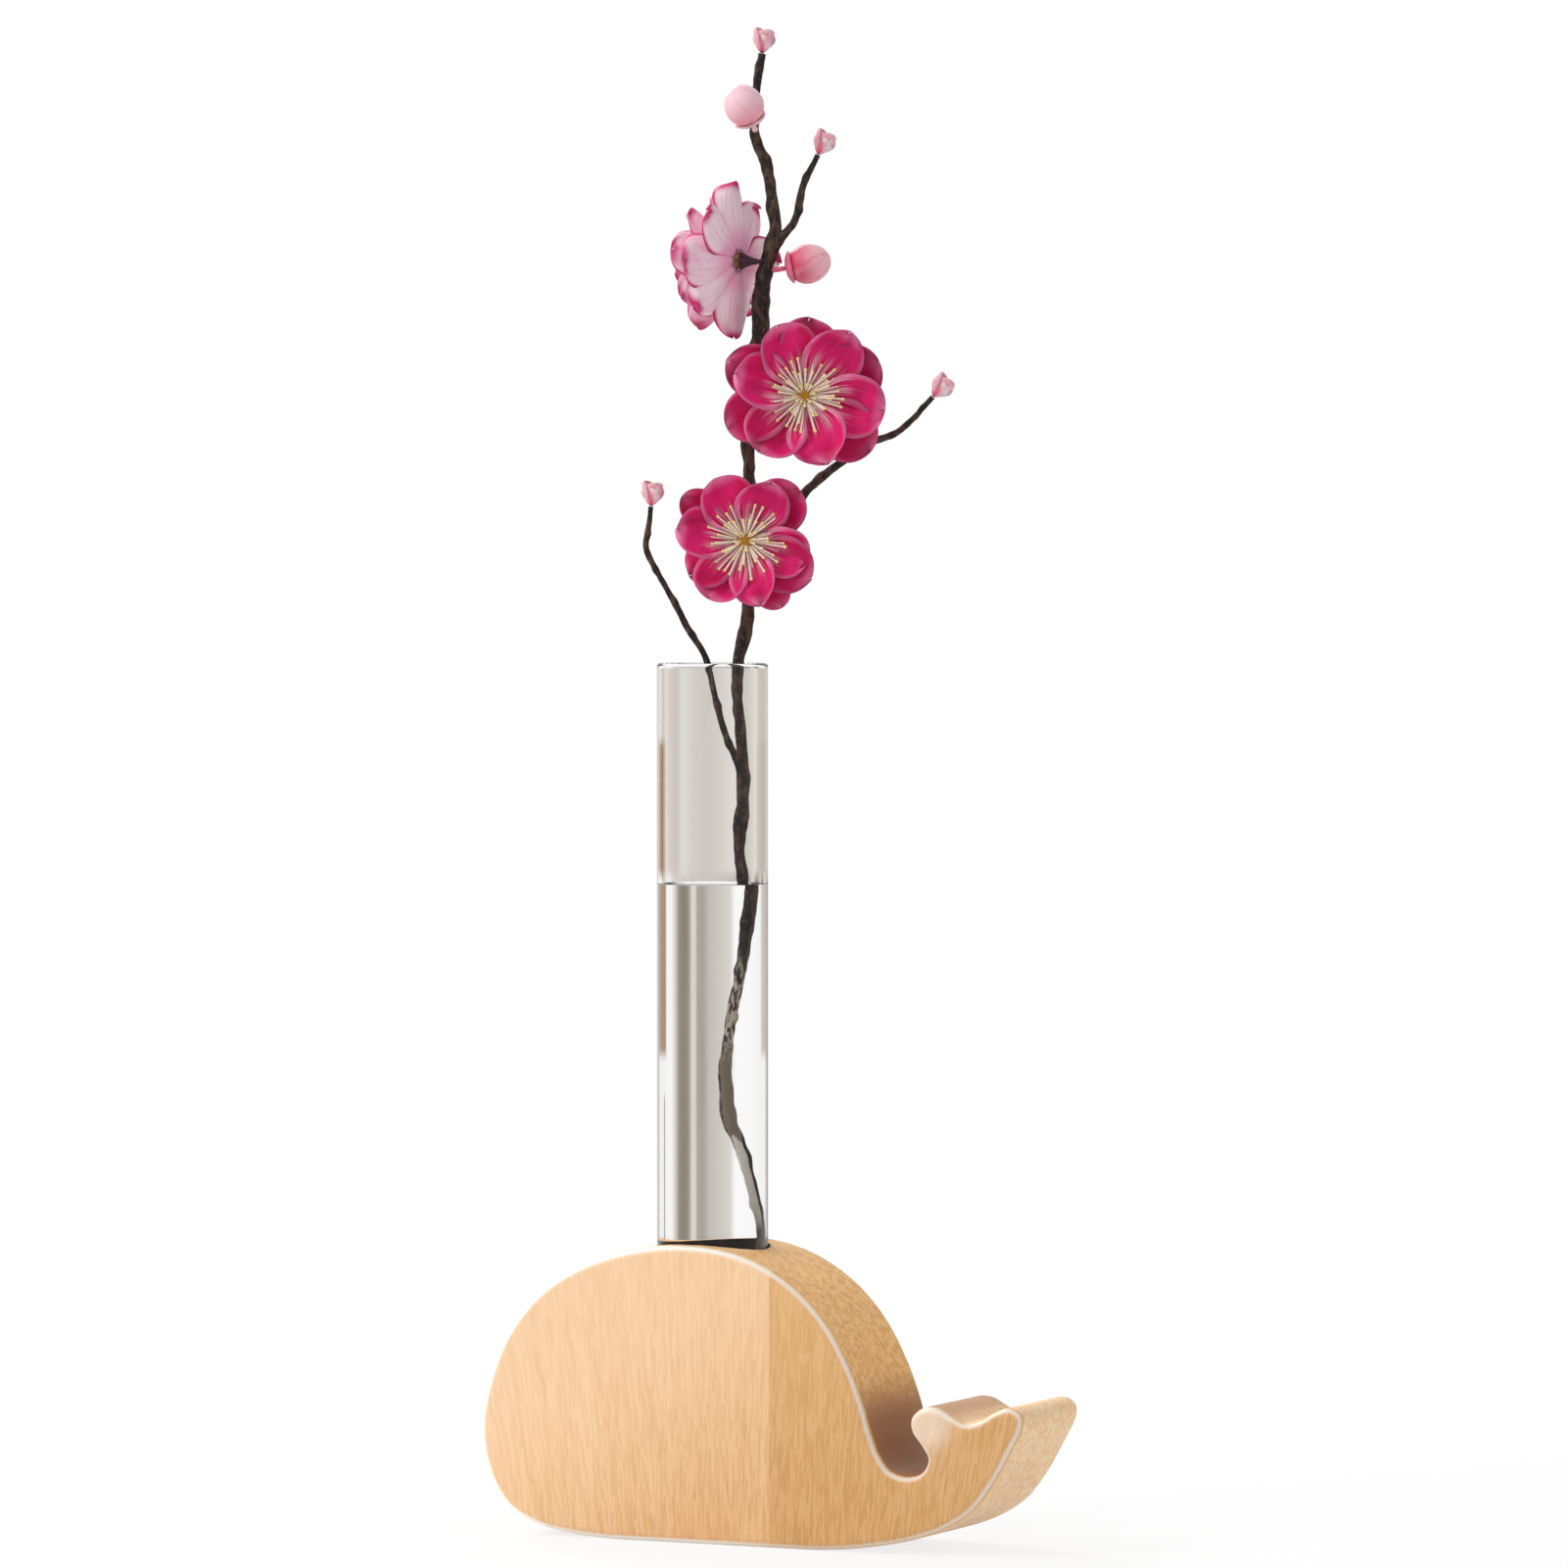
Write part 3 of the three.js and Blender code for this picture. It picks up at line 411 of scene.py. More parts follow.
def bark(name):
    look = Look(name, roughness=0.7, specular_ior_level=0.35)
    patches = look.grain((0.0012, 0.0012, 0.0026), 4)
    scales = look.grain((0.0004, 0.0004, 0.0007), 3)
    wood = look.mix(look.rise(patches, 0.44, 0.64), shade(24, 15, 14), shade(80, 58, 44))
    wood = look.mix(look.rise(scales, 0.58, 0.72) * 0.6, wood, shade(132, 104, 80))
    parts = look.node("ShaderNodeSeparateXYZ", {}, {0: look.place})
    height = Term(look, parts.socket.node.outputs[2])
    turn = look.chart()[0]
    left = look.rise(turn, 0.1, 0.16) * (1 - look.rise(turn, 0.34, 0.4))
    spots = look.grain((0.0006, 0.0006, 0.0016), 4)
    soaked = look.mix(look.rise(spots, 0.4, 0.58), shade(46, 34, 28), shade(222, 210, 192))
    soaked = look.mix(1 - look.rise(height, 0.085, 0.091), soaked, shade(150, 134, 118))
    soaked = look.mix(left * look.rise(patches, 0.62, 0.5), soaked, shade(16, 10, 8))
    wood = look.mix(1 - look.rise(height, 0.1, 0.107), wood, soaked)
    fibre = look.grain((0.0004, 0.0004, 0.004))
    peeled = look.mix(fibre, shade(255, 253, 246), shade(246, 236, 218))
    foot = 1 - look.rise(height, GREY_FOOT_HEIGHT, GREY_FOOT_HEIGHT + 0.003)
    peeled = look.mix(foot, peeled, shade(140, 122, 104))
    right = look.rise(turn, 0.59, 0.62) * (1 - look.rise(turn, 0.84, 0.88))
    peeled = look.mix(right, peeled, shade(30, 20, 16))
    look.set("Base Color", look.mix(look.mark(), wood, peeled))
    look.relief(patches + scales * 0.6, 0.0004, 0.8)
    return look.material


def petals(name, body, deep, rim, streak, rim_share, streak_share, rim_start=0.8):
    """Petals: deep at the root, deeper on the rings behind as painted shade, with another colour at the rim,
    and fine veins.
    """
    look = Look(name, roughness=0.62, specular_ior_level=0.22)
    across, along, chart = look.chart()
    veins = look.grain((0.04, 1.4, 1), 3, 0.25, chart)
    cloud = look.grain((0.004, 0.004, 0.004), 3)
    colour = look.mix(look.rise(along, 0.08, 0.5), deep, body)
    colour = look.mix(look.rise(veins, 0.48, 0.72) * 0.35, colour, deep)
    pale = look.rise(veins, 0.46, 0.58) * (1 - look.rise(along, 0.26, 0.62)) * streak_share
    colour = look.mix(pale, colour, streak)
    colour = look.mix((1 - look.rise(along, 0.06, 0.3)) * streak_share * 0.7, colour, streak)
    side = look.node("ShaderNodeMath", {"operation": "ABSOLUTE"}, {0: across * 2 - 1})
    edge = look.node("ShaderNodeMath", {"operation": "MAXIMUM"}, {0: side, 1: along})
    colour = look.mix(look.rise(edge, rim_start, 1.0) * rim_share * (0.5 + cloud), colour, rim)
    colour = look.mix(look.rise(cloud, 0.5, 0.7) * 0.4, colour, deep)
    colour = look.mix(look.rise(veins, 0.56, 0.68) * 0.22, colour, rim)
    # Painted shade: the mark deepens the petals that lie behind or inside others
    colour = look.mix(look.mark() * 0.55, colour, deep)
    look.set("Base Color", colour)
    look.relief(veins, 0.00025, 0.5)
    return look.material


def stamen_look(name):
    """The mark runs from 0 to 1 along a filament, and is higher on the anthers and the dome."""
    look = Look(name, roughness=0.55, specular_ior_level=0.3)
    along = look.mark()
    filament = look.mix(look.rise(along, 0.0, 0.35), shade(240, 196, 186), shade(255, 244, 226))
    anther = look.mix(look.rise(along, ANTHER_MARK - 0.8, ANTHER_MARK - 0.4), filament, shade(248, 228, 160))
    dome = look.rise(along, DOME_MARK - 0.6, DOME_MARK - 0.2)
    look.set("Base Color", look.mix(dome, anther, shade(186, 132, 30)))
    return look.material


def plain(name, colour, other, size, roughness=0.6, **constants):
    look = Look(name, roughness=roughness, **constants)
    look.set("Base Color", look.mix(look.rise(look.grain((size, size, size)), 0.35, 0.65), colour, other))
    return look.material


def bud_look(name, pale, deep):
    """A bud that is deeper at its foot and along the seams of its petals."""
    look = Look(name, roughness=0.5, sheen_weight=0.15)
    along = look.chart()[1]
    colour = look.mix(look.rise(along, 0.12, 0.85), deep, pale)
    colour = look.mix(look.rise(look.mark(), 0.72, 1.0) * 0.5, colour, deep)
    cloud = look.grain((0.0025, 0.0025, 0.0025), 3)
    look.set("Base Color", look.mix(look.rise(cloud, 0.5, 0.7) * 0.4, colour, pale))
    return look.material


def through(corners, steps):
    """Points of a centripetal curve through the corners, with the same number of steps on each span."""
    corners = np.array(corners, float)
    padded = np.vstack([2 * corners[0] - corners[1], corners, 2 * corners[-1] - corners[-2]])
    found = []
    for i in range(1, len(padded) - 2):
        a, b, c, d = padded[i - 1 : i + 3]
        before, span, after = (max(np.linalg.norm(q - p), 1e-9) ** 0.5 for p, q in ((a, b), (b, c), (c, d)))
        leave = ((b - a) / before - (c - a) / (before + span) + (c - b) / span) * span
        reach = ((c - b) / span - (d - b) / (span + after) + (d - c) / after) * span
        for t in np.arange(steps) / steps:
            bend = -3 * b + 3 * c - 2 * leave - reach
            found.append(b + leave * t + bend * t**2 + (2 * b - 2 * c + leave + reach) * t**3)
    return np.array([*found, corners[-1]])


class Shape:
    """Corners, faces, a chart of two shares for each corner and one mark."""

    def __init__(self, places, faces, chart=None, mark=None):
        self.places = np.array(places, float)
        self.faces = [tuple(face) for face in faces]
        count = len(self.places)
        self.chart = np.zeros((count, 2)) if chart is None else np.array(chart, float)
        self.mark = np.zeros(count) if mark is None else np.array(mark, float)

    def moved(self, matrix):
        turned = self.places @ np.array(matrix.to_3x3()).T + np.array(matrix.translation)
        return Shape(turned, self.faces, self.chart, self.mark)


def together(shapes):
    start, faces = 0, []
    for shape in shapes:
        faces += [tuple(start + i for i in face) for face in shape.faces]
        start += len(shape.places)
    stacked = [np.concatenate([getattr(s, key) for s in shapes]) for key in ("places", "chart", "mark")]
    return Shape(stacked[0], faces, stacked[1], stacked[2])


def mesh_of(name, shape):
    mesh = bpy.data.meshes.new(name)
    mesh.from_pydata(shape.places.tolist(), [], shape.faces)
    corners = np.array([loop.vertex_index for loop in mesh.loops])
    mesh.uv_layers.new(name="chart").data.foreach_set("uv", shape.chart[corners].astype(np.float32).ravel())
    mesh.attributes.new("mark", "FLOAT", "POINT").data.foreach_set("value", shape.mark.astype(np.float32))
    mesh.polygons.foreach_set("use_smooth", [True] * len(mesh.polygons))
    return mesh


def add_piece(name, mesh, material, body, stands_for=()):
    mesh.materials.clear()
    mesh.materials.append(material)
    piece = bpy.data.objects.new(name, mesh)
    bpy.context.scene.collection.objects.link(piece)
    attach(piece, body)
    if stands_for:
        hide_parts(*stands_for)
    return piece


def closed_faces(rings, segments):
    """Faces of a closed body round an axis, whose corners are a point, some rings and another point."""
    faces, last = [], 1 + (rings - 1) * segments
    for i in range(segments):
        j = (i + 1) % segments
        faces.append((0, 1 + j, 1 + i))
        for ring in range(rings - 1):
            a, b = 1 + ring * segments + i, 1 + ring * segments + j
            faces.append((a, b, b + segments, a + segments))
        faces.append((last + i, last + j, last + segments))
    return faces


def revolved(profile, segments, lobes=0, lobe_share=0.0):
    """A closed body round Z, from a profile of radius and height that starts and ends on the axis.
    Its section swells into lobes towards the top."""
    profile = np.array(profile, float)
    low, high = profile[:, 1].min(), profile[:, 1].max()
    turns = 2 * np.pi * np.arange(segments) / segments
    places, chart = [(0, 0, profile[0, 1])], [(0.5, 0)]
    for radius, height in profile[1:-1]:
        rise = (height - low) / (high - low)
        for turn in turns:
            swell = radius * (1 + lobe_share * math.cos(lobes * turn) * rise)
            places.append((swell * math.cos(turn), swell * math.sin(turn), height))
            chart.append((turn / (2 * np.pi), rise))
    places.append((0, 0, profile[-1, 1]))
    chart.append((0.5, (profile[-1, 1] - low) / (high - low)))
    faces = closed_faces(len(profile) - 2, segments)
    return Shape(places, faces, chart)


def evaluated(made):
    """The plain mesh that an object's modifiers give."""
    bpy.context.view_layer.update()
    return bpy.data.meshes.new_from_object(made.evaluated_get(bpy.context.evaluated_depsgraph_get()))


def whittled(target, cutter_shapes, keep):
    """The target's mesh with the cutters taken out, and only what lies inside keep."""
    made = bpy.data.objects.new("blank", target)
    bpy.context.scene.collection.objects.link(made)
    helpers = []
    for operation, shape in [("DIFFERENCE", shape) for shape in cutter_shapes] + [("INTERSECT", keep)]:
        helper = bpy.data.objects.new("cutter", mesh_of("cutter", shape))
        bpy.context.scene.collection.objects.link(helper)
        helpers.append(helper)
        cut = made.modifiers.new("cut", "BOOLEAN")
        cut.operation, cut.solver, cut.object = operation, "EXACT", helper
    cut_mesh = evaluated(made)
    cut_mesh.set_sharp_from_angle(angle=math.radians(35))
    made.modifiers.clear()
    made.data = cut_mesh
    weighted = made.modifiers.new("flat faces", "WEIGHTED_NORMAL")
    weighted.keep_sharp, weighted.weight = True, 100
    mesh = evaluated(made)
    for spent in (made, *helpers):
        bpy.data.objects.remove(spent)
    return mesh


def block_shape():
    """The whole block: the outline carried across the thickness, with rounded edges."""
    edge_rings = 6
    corners = [(along * BLOCK_LENGTH + head_low.x, up * BLOCK_HEIGHT) for along, up in OUTLINE_SHARES]
    outline = through(corners, 8)
    outline[:, 1] = np.clip(outline[:, 1], 0, BLOCK_HEIGHT)
    outline[:, 0] = np.clip(outline[:, 0], head_low.x, tail_high.x)
    sides = np.roll(outline, -1, axis=0) - outline
    outward = np.stack([sides[:, 1], -sides[:, 0]], axis=1)
    outward /= np.linalg.norm(outward, axis=1, keepdims=True)
    normals = outward + np.roll(outward, 1, axis=0)
    normals /= np.linalg.norm(normals, axis=1, keepdims=True)
    half = BLOCK_THICKNESS / 2
    turns = np.linspace(0, np.pi / 2, edge_rings + 1)
    front = [(EDGE_RADIUS * (1 - math.sin(t)), -half + EDGE_RADIUS * (1 - math.cos(t))) for t in turns]
    profile = front + [(inset, -y) for inset, y in reversed(front)]
    places = []
    for inset, y in profile:
        places += [(x, y, z) for x, z in outline - normals * inset]
    count = len(outline)
    faces = []
    for ring in range(len(profile) - 1):
        for i in range(count):
            j = (i + 1) % count
            a, b = ring * count + i, ring * count + j
            faces.append((a + count, b + count, b, a))
    faces.append(tuple(range(count)))
    faces.append(tuple(reversed(range((len(profile) - 1) * count, len(profile) * count))))
    return Shape(places, faces)


def box_shape(low, high):
    places = [(x, y, z) for x in (low[0], high[0]) for y in (low[1], high[1]) for z in (low[2], high[2])]
    faces = [(0, 1, 3, 2), (4, 6, 7, 5), (0, 4, 5, 1), (2, 3, 7, 6), (0, 2, 6, 4), (1, 5, 7, 3)]
    return Shape(places, faces)


def recess_shape(name):
    low, high = magnet_boxes[name]
    radius = (high.x - low.x) / 2 + RECESS_CLEARANCE
    depth = high.y - low.y + RECESS_CLEARANCE
    disc = revolved([(0, 0), (radius, 0), (radius, 2 * depth), (0, 2 * depth)], 64)
    turn = Matrix.Translation(((low.x + high.x) / 2, high.y - depth, (low.z + high.z) / 2))
    return disc.moved(turn @ Matrix.Rotation(-math.pi / 2, 4, "X"))


def build_block(materials):
    margin, cutter_top = 0.01, 0.08
    bore = [(0, BORE_FLOOR), (BORE_RADIUS, BORE_FLOOR), (BORE_RADIUS, cutter_top), (0, cutter_top)]
    low = (head_low.x - margin, -BLOCK_THICKNESS, -margin)
    high = (tail_high.x + margin, BLOCK_THICKNESS, BLOCK_HEIGHT + margin)
    head_side = box_shape(low, (SEAM_X, *high[1:]))
    tail_side = box_shape((SEAM_X, *low[1:]), high)
    head_cutters = [revolved(bore, 128), recess_shape("magnet_left")]
    head = whittled(mesh_of("head", block_shape()), head_cutters, head_side)
    tail = whittled(mesh_of("tail", block_shape()), [recess_shape("magnet_right")], tail_side)
    add_piece("head_board", head, materials["beech_light"], "base", ["head_block"])
    add_piece("tail_board", tail, materials["beech_warm"], "base", ["tail_block"])


def build_magnets(material):
    chamfer = 0.0003
    for name, (low, high) in magnet_boxes.items():
        radius, depth = (high.x - low.x) / 2, high.y - low.y
        profile = [
            (0, 0), (radius - chamfer, 0), (radius, chamfer), (radius, depth - chamfer),
            (radius - chamfer, depth), (0, depth),
        ]
        turn = Matrix.Translation(((low.x + high.x) / 2, low.y, (low.z + high.z) / 2))
        disc = revolved(profile, 96).moved(turn @ Matrix.Rotation(-math.pi / 2, 4, "X"))
        mesh = mesh_of(name, disc)
        mesh.set_sharp_from_angle(angle=math.radians(30))
        add_piece(name.replace("magnet", "magnet_disc"), mesh, material, "base", [name])


def round_bottom(radius):
    """Radius and height up the tube's round lower end, from the axis to the wall."""
    turns = np.linspace(0, np.pi / 2, 14)
    return [(radius * math.sin(t), TUBE_FLOOR - radius * math.cos(t)) for t in turns]


def build_tube(material):
    rim = np.linspace(0, np.pi, 9)
    rim_radius = TUBE_WALL / 2
    holds = [TUBE_FLOOR + SUPPORT_STEP, RIM_HEIGHT - rim_radius - SUPPORT_STEP]
    profile = round_bottom(TUBE_RADIUS) + [(TUBE_RADIUS, height) for height in holds]
    profile += [
        (
            TUBE_RADIUS - rim_radius + rim_radius * math.cos(t),
            RIM_HEIGHT - rim_radius + rim_radius * math.sin(t),
        )
        for t in rim
    ]
    profile += [(INNER_RADIUS, height) for height in reversed(holds)]
    profile += reversed(round_bottom(INNER_RADIUS))
    mesh = mesh_of("tube", revolved(profile, 256))
    add_piece("clear_tube", mesh, material, "tube", ["glass_tube"])


def build_water(material):
    radius = INNER_RADIUS + WATER_OVERLAP
    profile = round_bottom(radius)
    profile += [(radius, TUBE_FLOOR + SUPPORT_STEP), (radius, WATER_HEIGHT - SUPPORT_STEP)]
    profile += [
        (radius * share, WATER_HEIGHT + MENISCUS * rise)
        for share, rise in ((1, 1), (0.985, 0.55), (0.96, 0.28), (0.92, 0.1), (0.86, 0.02), (0.75, 0))
    ]
    profile.append((0, WATER_HEIGHT))
    mesh = mesh_of("water", revolved(profile, 256))
    mesh.set_sharp_from_angle(angle=math.radians(30))
    add_piece("water", mesh, material, "tube")


def in_tube(row):
    side, front, up = row[:3]
    return (side * INNER_RADIUS, -front * INNER_RADIUS, FOOT_HEIGHT + up * (RIM_HEIGHT - FOOT_HEIGHT))


def above_rim(row):
    side, front, up = row[:3]
    return (side * BRANCH_REACH, -front * BRANCH_REACH, RIM_HEIGHT + up * CROWN_HEIGHT)


def thickness(row):
    return row[3] * STEM_RADIUS


stem_route = [*map(in_tube, STEM_IN_TUBE), *map(above_rim, STEM_ABOVE)]
stem_radii = [thickness(row) for row in (*STEM_IN_TUBE, *STEM_ABOVE)]
left_route = [*map(in_tube, LEFT_TWIG_IN_TUBE), *map(above_rim, LEFT_TWIG_ABOVE)]
left_radii = [thickness(row) for row in (*LEFT_TWIG_IN_TUBE, *LEFT_TWIG_ABOVE)]
right_route, right_radii = [*map(above_rim, RIGHT_TWIG)], [*map(thickness, RIGHT_TWIG)]
upper_route, upper_radii = [*map(above_rim, UPPER_TWIG)], [*map(thickness, UPPER_TWIG)]


def limb(route, radii, sides, steps, relief=0.0, knot_every=0.0):
    """A limb of round section along a curve, roughened as bark is, with a knot now and then."""
    centres = through(route, steps)
    spans = np.linspace(0, len(route) - 1, len(centres))
    radius = np.interp(spans, np.arange(len(route)), radii)
    runs = np.gradient(centres, axis=0)
    runs /= np.linalg.norm(runs, axis=1, keepdims=True)
    walked = np.concatenate([[0], np.cumsum(np.linalg.norm(np.diff(centres, axis=0), axis=1))])
    across = np.array([0.0, 1.0, 0.0])
    places, marks, chart = [], [], []
    for centre, along, thick, far in zip(centres, runs, radius, walked):
        across = across - along * (across @ along)
        across /= np.linalg.norm(across)
        beside = np.cross(along, across)
        for side in range(sides):
            turn = 2 * np.pi * side / sides
            spoke = across * math.cos(turn) + beside * math.sin(turn)
            spot = centre + spoke * thick
            swell = 1.0
            if relief:
                swell += relief * noise.noise(Vector(spot) / (1.1 * STEM_RADIUS))
                swell += 0.5 * relief * noise.noise(Vector(spot * (1, 1, 0.35)) / (0.35 * STEM_RADIUS))
            if knot_every:
                knot = round(far / knot_every)
                facing_turn = KNOT_TURN * knot
                near = ((far - knot * knot_every) / (1.3 * thick)) ** 2
                swell += KNOT_SWELL * math.exp(-near - 1.4 * (1 - math.cos(turn - facing_turn)))
            places.append(centre + spoke * thick * swell)
            broken = 0.002 * math.cos(turn - 1.2 * math.pi) + 0.0012 * math.sin(3 * turn)
            marks.append(1.0 if places[-1][2] < PEELED_HEIGHT + broken else 0.0)
            chart.append((side / sides, far / walked[-1]))
    rings, faces = len(centres), []
    for ring in range(rings - 1):
        for side in range(sides):
            a, b = ring * sides + side, ring * sides + (side + 1) % sides
            faces.append((a, b, b + sides, a + sides))
    faces.append(tuple(reversed(range(sides))))
    faces.append(tuple(range((rings - 1) * sides, rings * sides)))
    return Shape(places, faces, chart, marks)


def build_branch(material):
    limbs = [
        limb(route, radii, sides, steps, BARK_RELIEF, knot_every)
        for route, radii, sides, steps, knot_every in (
            (stem_route, stem_radii, 28, 14, 0.0086), (left_route, left_radii, 16, 10, 0.0068),
            (right_route, right_radii, 16, 10, 0.0074), (upper_route, upper_radii, 16, 10, 0.0062),
        )
    ]
    mesh = mesh_of("branch", together(limbs).moved(Matrix.Rotation(BRANCH_TURN, 4, "Z")))
    add_piece("branch_bark", mesh, material, "branch", ["plum_branch"])


def stem_at(height):
    heights = [place[2] for place in stem_route]
    span = next(i for i in range(1, len(heights)) if heights[i] >= height > heights[i - 1])
    share = (height - heights[span - 1]) / (heights[span] - heights[span - 1])
    centre = Vector(stem_route[span - 1]).lerp(Vector(stem_route[span]), share)
    return centre, stem_radii[span - 1] + (stem_radii[span] - stem_radii[span - 1]) * share


def facing(heading):
    """The turn that carries +Z to a heading and keeps +Y as upright as it can be."""
    side = Vector((0, 0, 1)).cross(heading).normalized()
    up = heading.cross(side)
    return Matrix((side, up, heading)).transposed().to_4x4()


def seat_of(item, depth):
    """The place and heading of a blossom or bud on the stem."""
    centre, radius = stem_at(RIM_HEIGHT + item["stem_share"] * CROWN_HEIGHT)
    side, front, up = item["heading"]
    heading = Vector((side, -front, up)).normalized()
    clear = radius + JOIN_GAP + item["pedicel"] - depth * heading.y if heading.y < 0 else 0
    base = centre + Vector((item["side"], -clear, item.get("up", 0)))
    return centre, radius, heading, base


def stalk(item, depth, thick):
    centre, radius, heading, base = seat_of(item, depth)
    end = base - heading * depth
    away = end - centre
    away.z = 0
    start = centre + away.normalized() * (radius * 0.6)
    route = [tuple(start), tuple(end), tuple(end + heading * thick)]
    return limb(route, [thick * 1.2, thick, thick], 14, 8)


def seat_matrix(item, depth):
    heading, base = seat_of(item, depth)[2:]
    return Matrix.Translation(base) @ facing(heading)


def half_width(share):
    """A petal's half width at a share of its length: narrow claw, broad blade, round tip."""
    middle = 0.54
    if share < middle:
        return 0.16 + 0.84 * math.sin(math.pi / 2 * share / middle) ** 1.15
    return max(0.0, 1 - ((share - middle) / (1 - middle)) ** 2.5) ** 0.5


def petal(length, width, lean, cup, ruffle, seed, root=PETAL_ROOT, rows=20, columns=12):
    """A thin petal along +X that leans from its root angle to its tip angle."""
    shares = [math.sin(math.pi / 2 * row / rows) for row in range(rows + 1)]
    spine, before = Vector((root, 0, 0)), 0.0
    tops, normals = [], []
    for share in shares:
        angle = math.radians(lean[0] + (lean[1] - lean[0]) * share)
        run = Vector((math.cos(angle), 0, math.sin(angle)))
        spine = spine + run * length * (share - before)
        before = share
        normal = Vector((-math.sin(angle), 0, math.cos(angle)))
        half = half_width(share) * width / 2
        for column in range(columns + 1):
            across = 2 * column / columns - 1
            wave = noise.noise(Vector((share * 2.2, across * 1.6, seed * 7.3)))
            frill = math.sin(5.0 * across + seed * 2.1) * share**3 * abs(across)
            lift = cup * half * across**2 + ruffle * width * (wave * share**1.5 + 0.35 * frill)
            notch = 0.05 * length * math.exp(-((across / 0.3) ** 2)) * share**10
            tops.append(spine + normal * lift + Vector((0, half * across, 0)) - run * notch)
            normals.append(normal)
    count = len(tops)
    wide = columns + 1
    places, chart, twin = [], [], {}
    for i, top in enumerate(tops):
        row, column = divmod(i, wide)
        rim = row in (0, rows) or column in (0, columns)
        half = 0 if rim else PETAL_THICKNESS / 2
        places.append(top + normals[i] * half)
        chart.append((column / columns, shares[row]))
    for i, top in enumerate(tops):
        row, column = divmod(i, wide)
        if row in (0, rows) or column in (0, columns):
            twin[i] = i
            continue
        twin[i] = len(places)
        places.append(top - normals[i] * PETAL_THICKNESS / 2)
        chart.append((column / columns, shares[row]))
    faces = []
    for i in range(count - wide):
        if (i + 1) % wide == 0:
            continue
        quad = (i, i + wide, i + wide + 1, i + 1)
        faces.append(quad)
        faces.append(tuple(twin[k] for k in reversed(quad)))
    return Shape([tuple(p) for p in places], faces, chart)


def corolla(bloom):
    """The rings of petals, each petal a little twisted so that it tucks under the next one."""
    shapes = []
    rings = bloom.get("rings", DOUBLE_RINGS)
    for ring, (key, mark, twist) in enumerate(rings):
        for i, (turn, length, width) in enumerate(bloom[key]):
            seed = 1 + i + 6 * ring
            lean = [angle + LEAN_SWAY * math.sin(2.7 * i + ring) for angle in bloom[f"{key}_lean"]]
            size = length * bloom["length"], width * bloom["width"]
            shape = petal(*size, lean, PETAL_CUP, PETAL_RUFFLE, seed)
            # The mark carries the ring's painted shade, with a little change from petal to petal
            shape.mark[:] = mark + 0.15 + 0.15 * math.sin(3.9 * seed)
            tuck = Matrix.Rotation(math.radians(twist), 4, "X")
            place = Matrix.Translation((0, 0, COROLLA_SEAT - BACK_RING_DROP * (key == "back")))
            shapes.append(shape.moved(place @ Matrix.Rotation(2 * math.pi * turn, 4, "Z") @ tuck))
    return together(shapes)


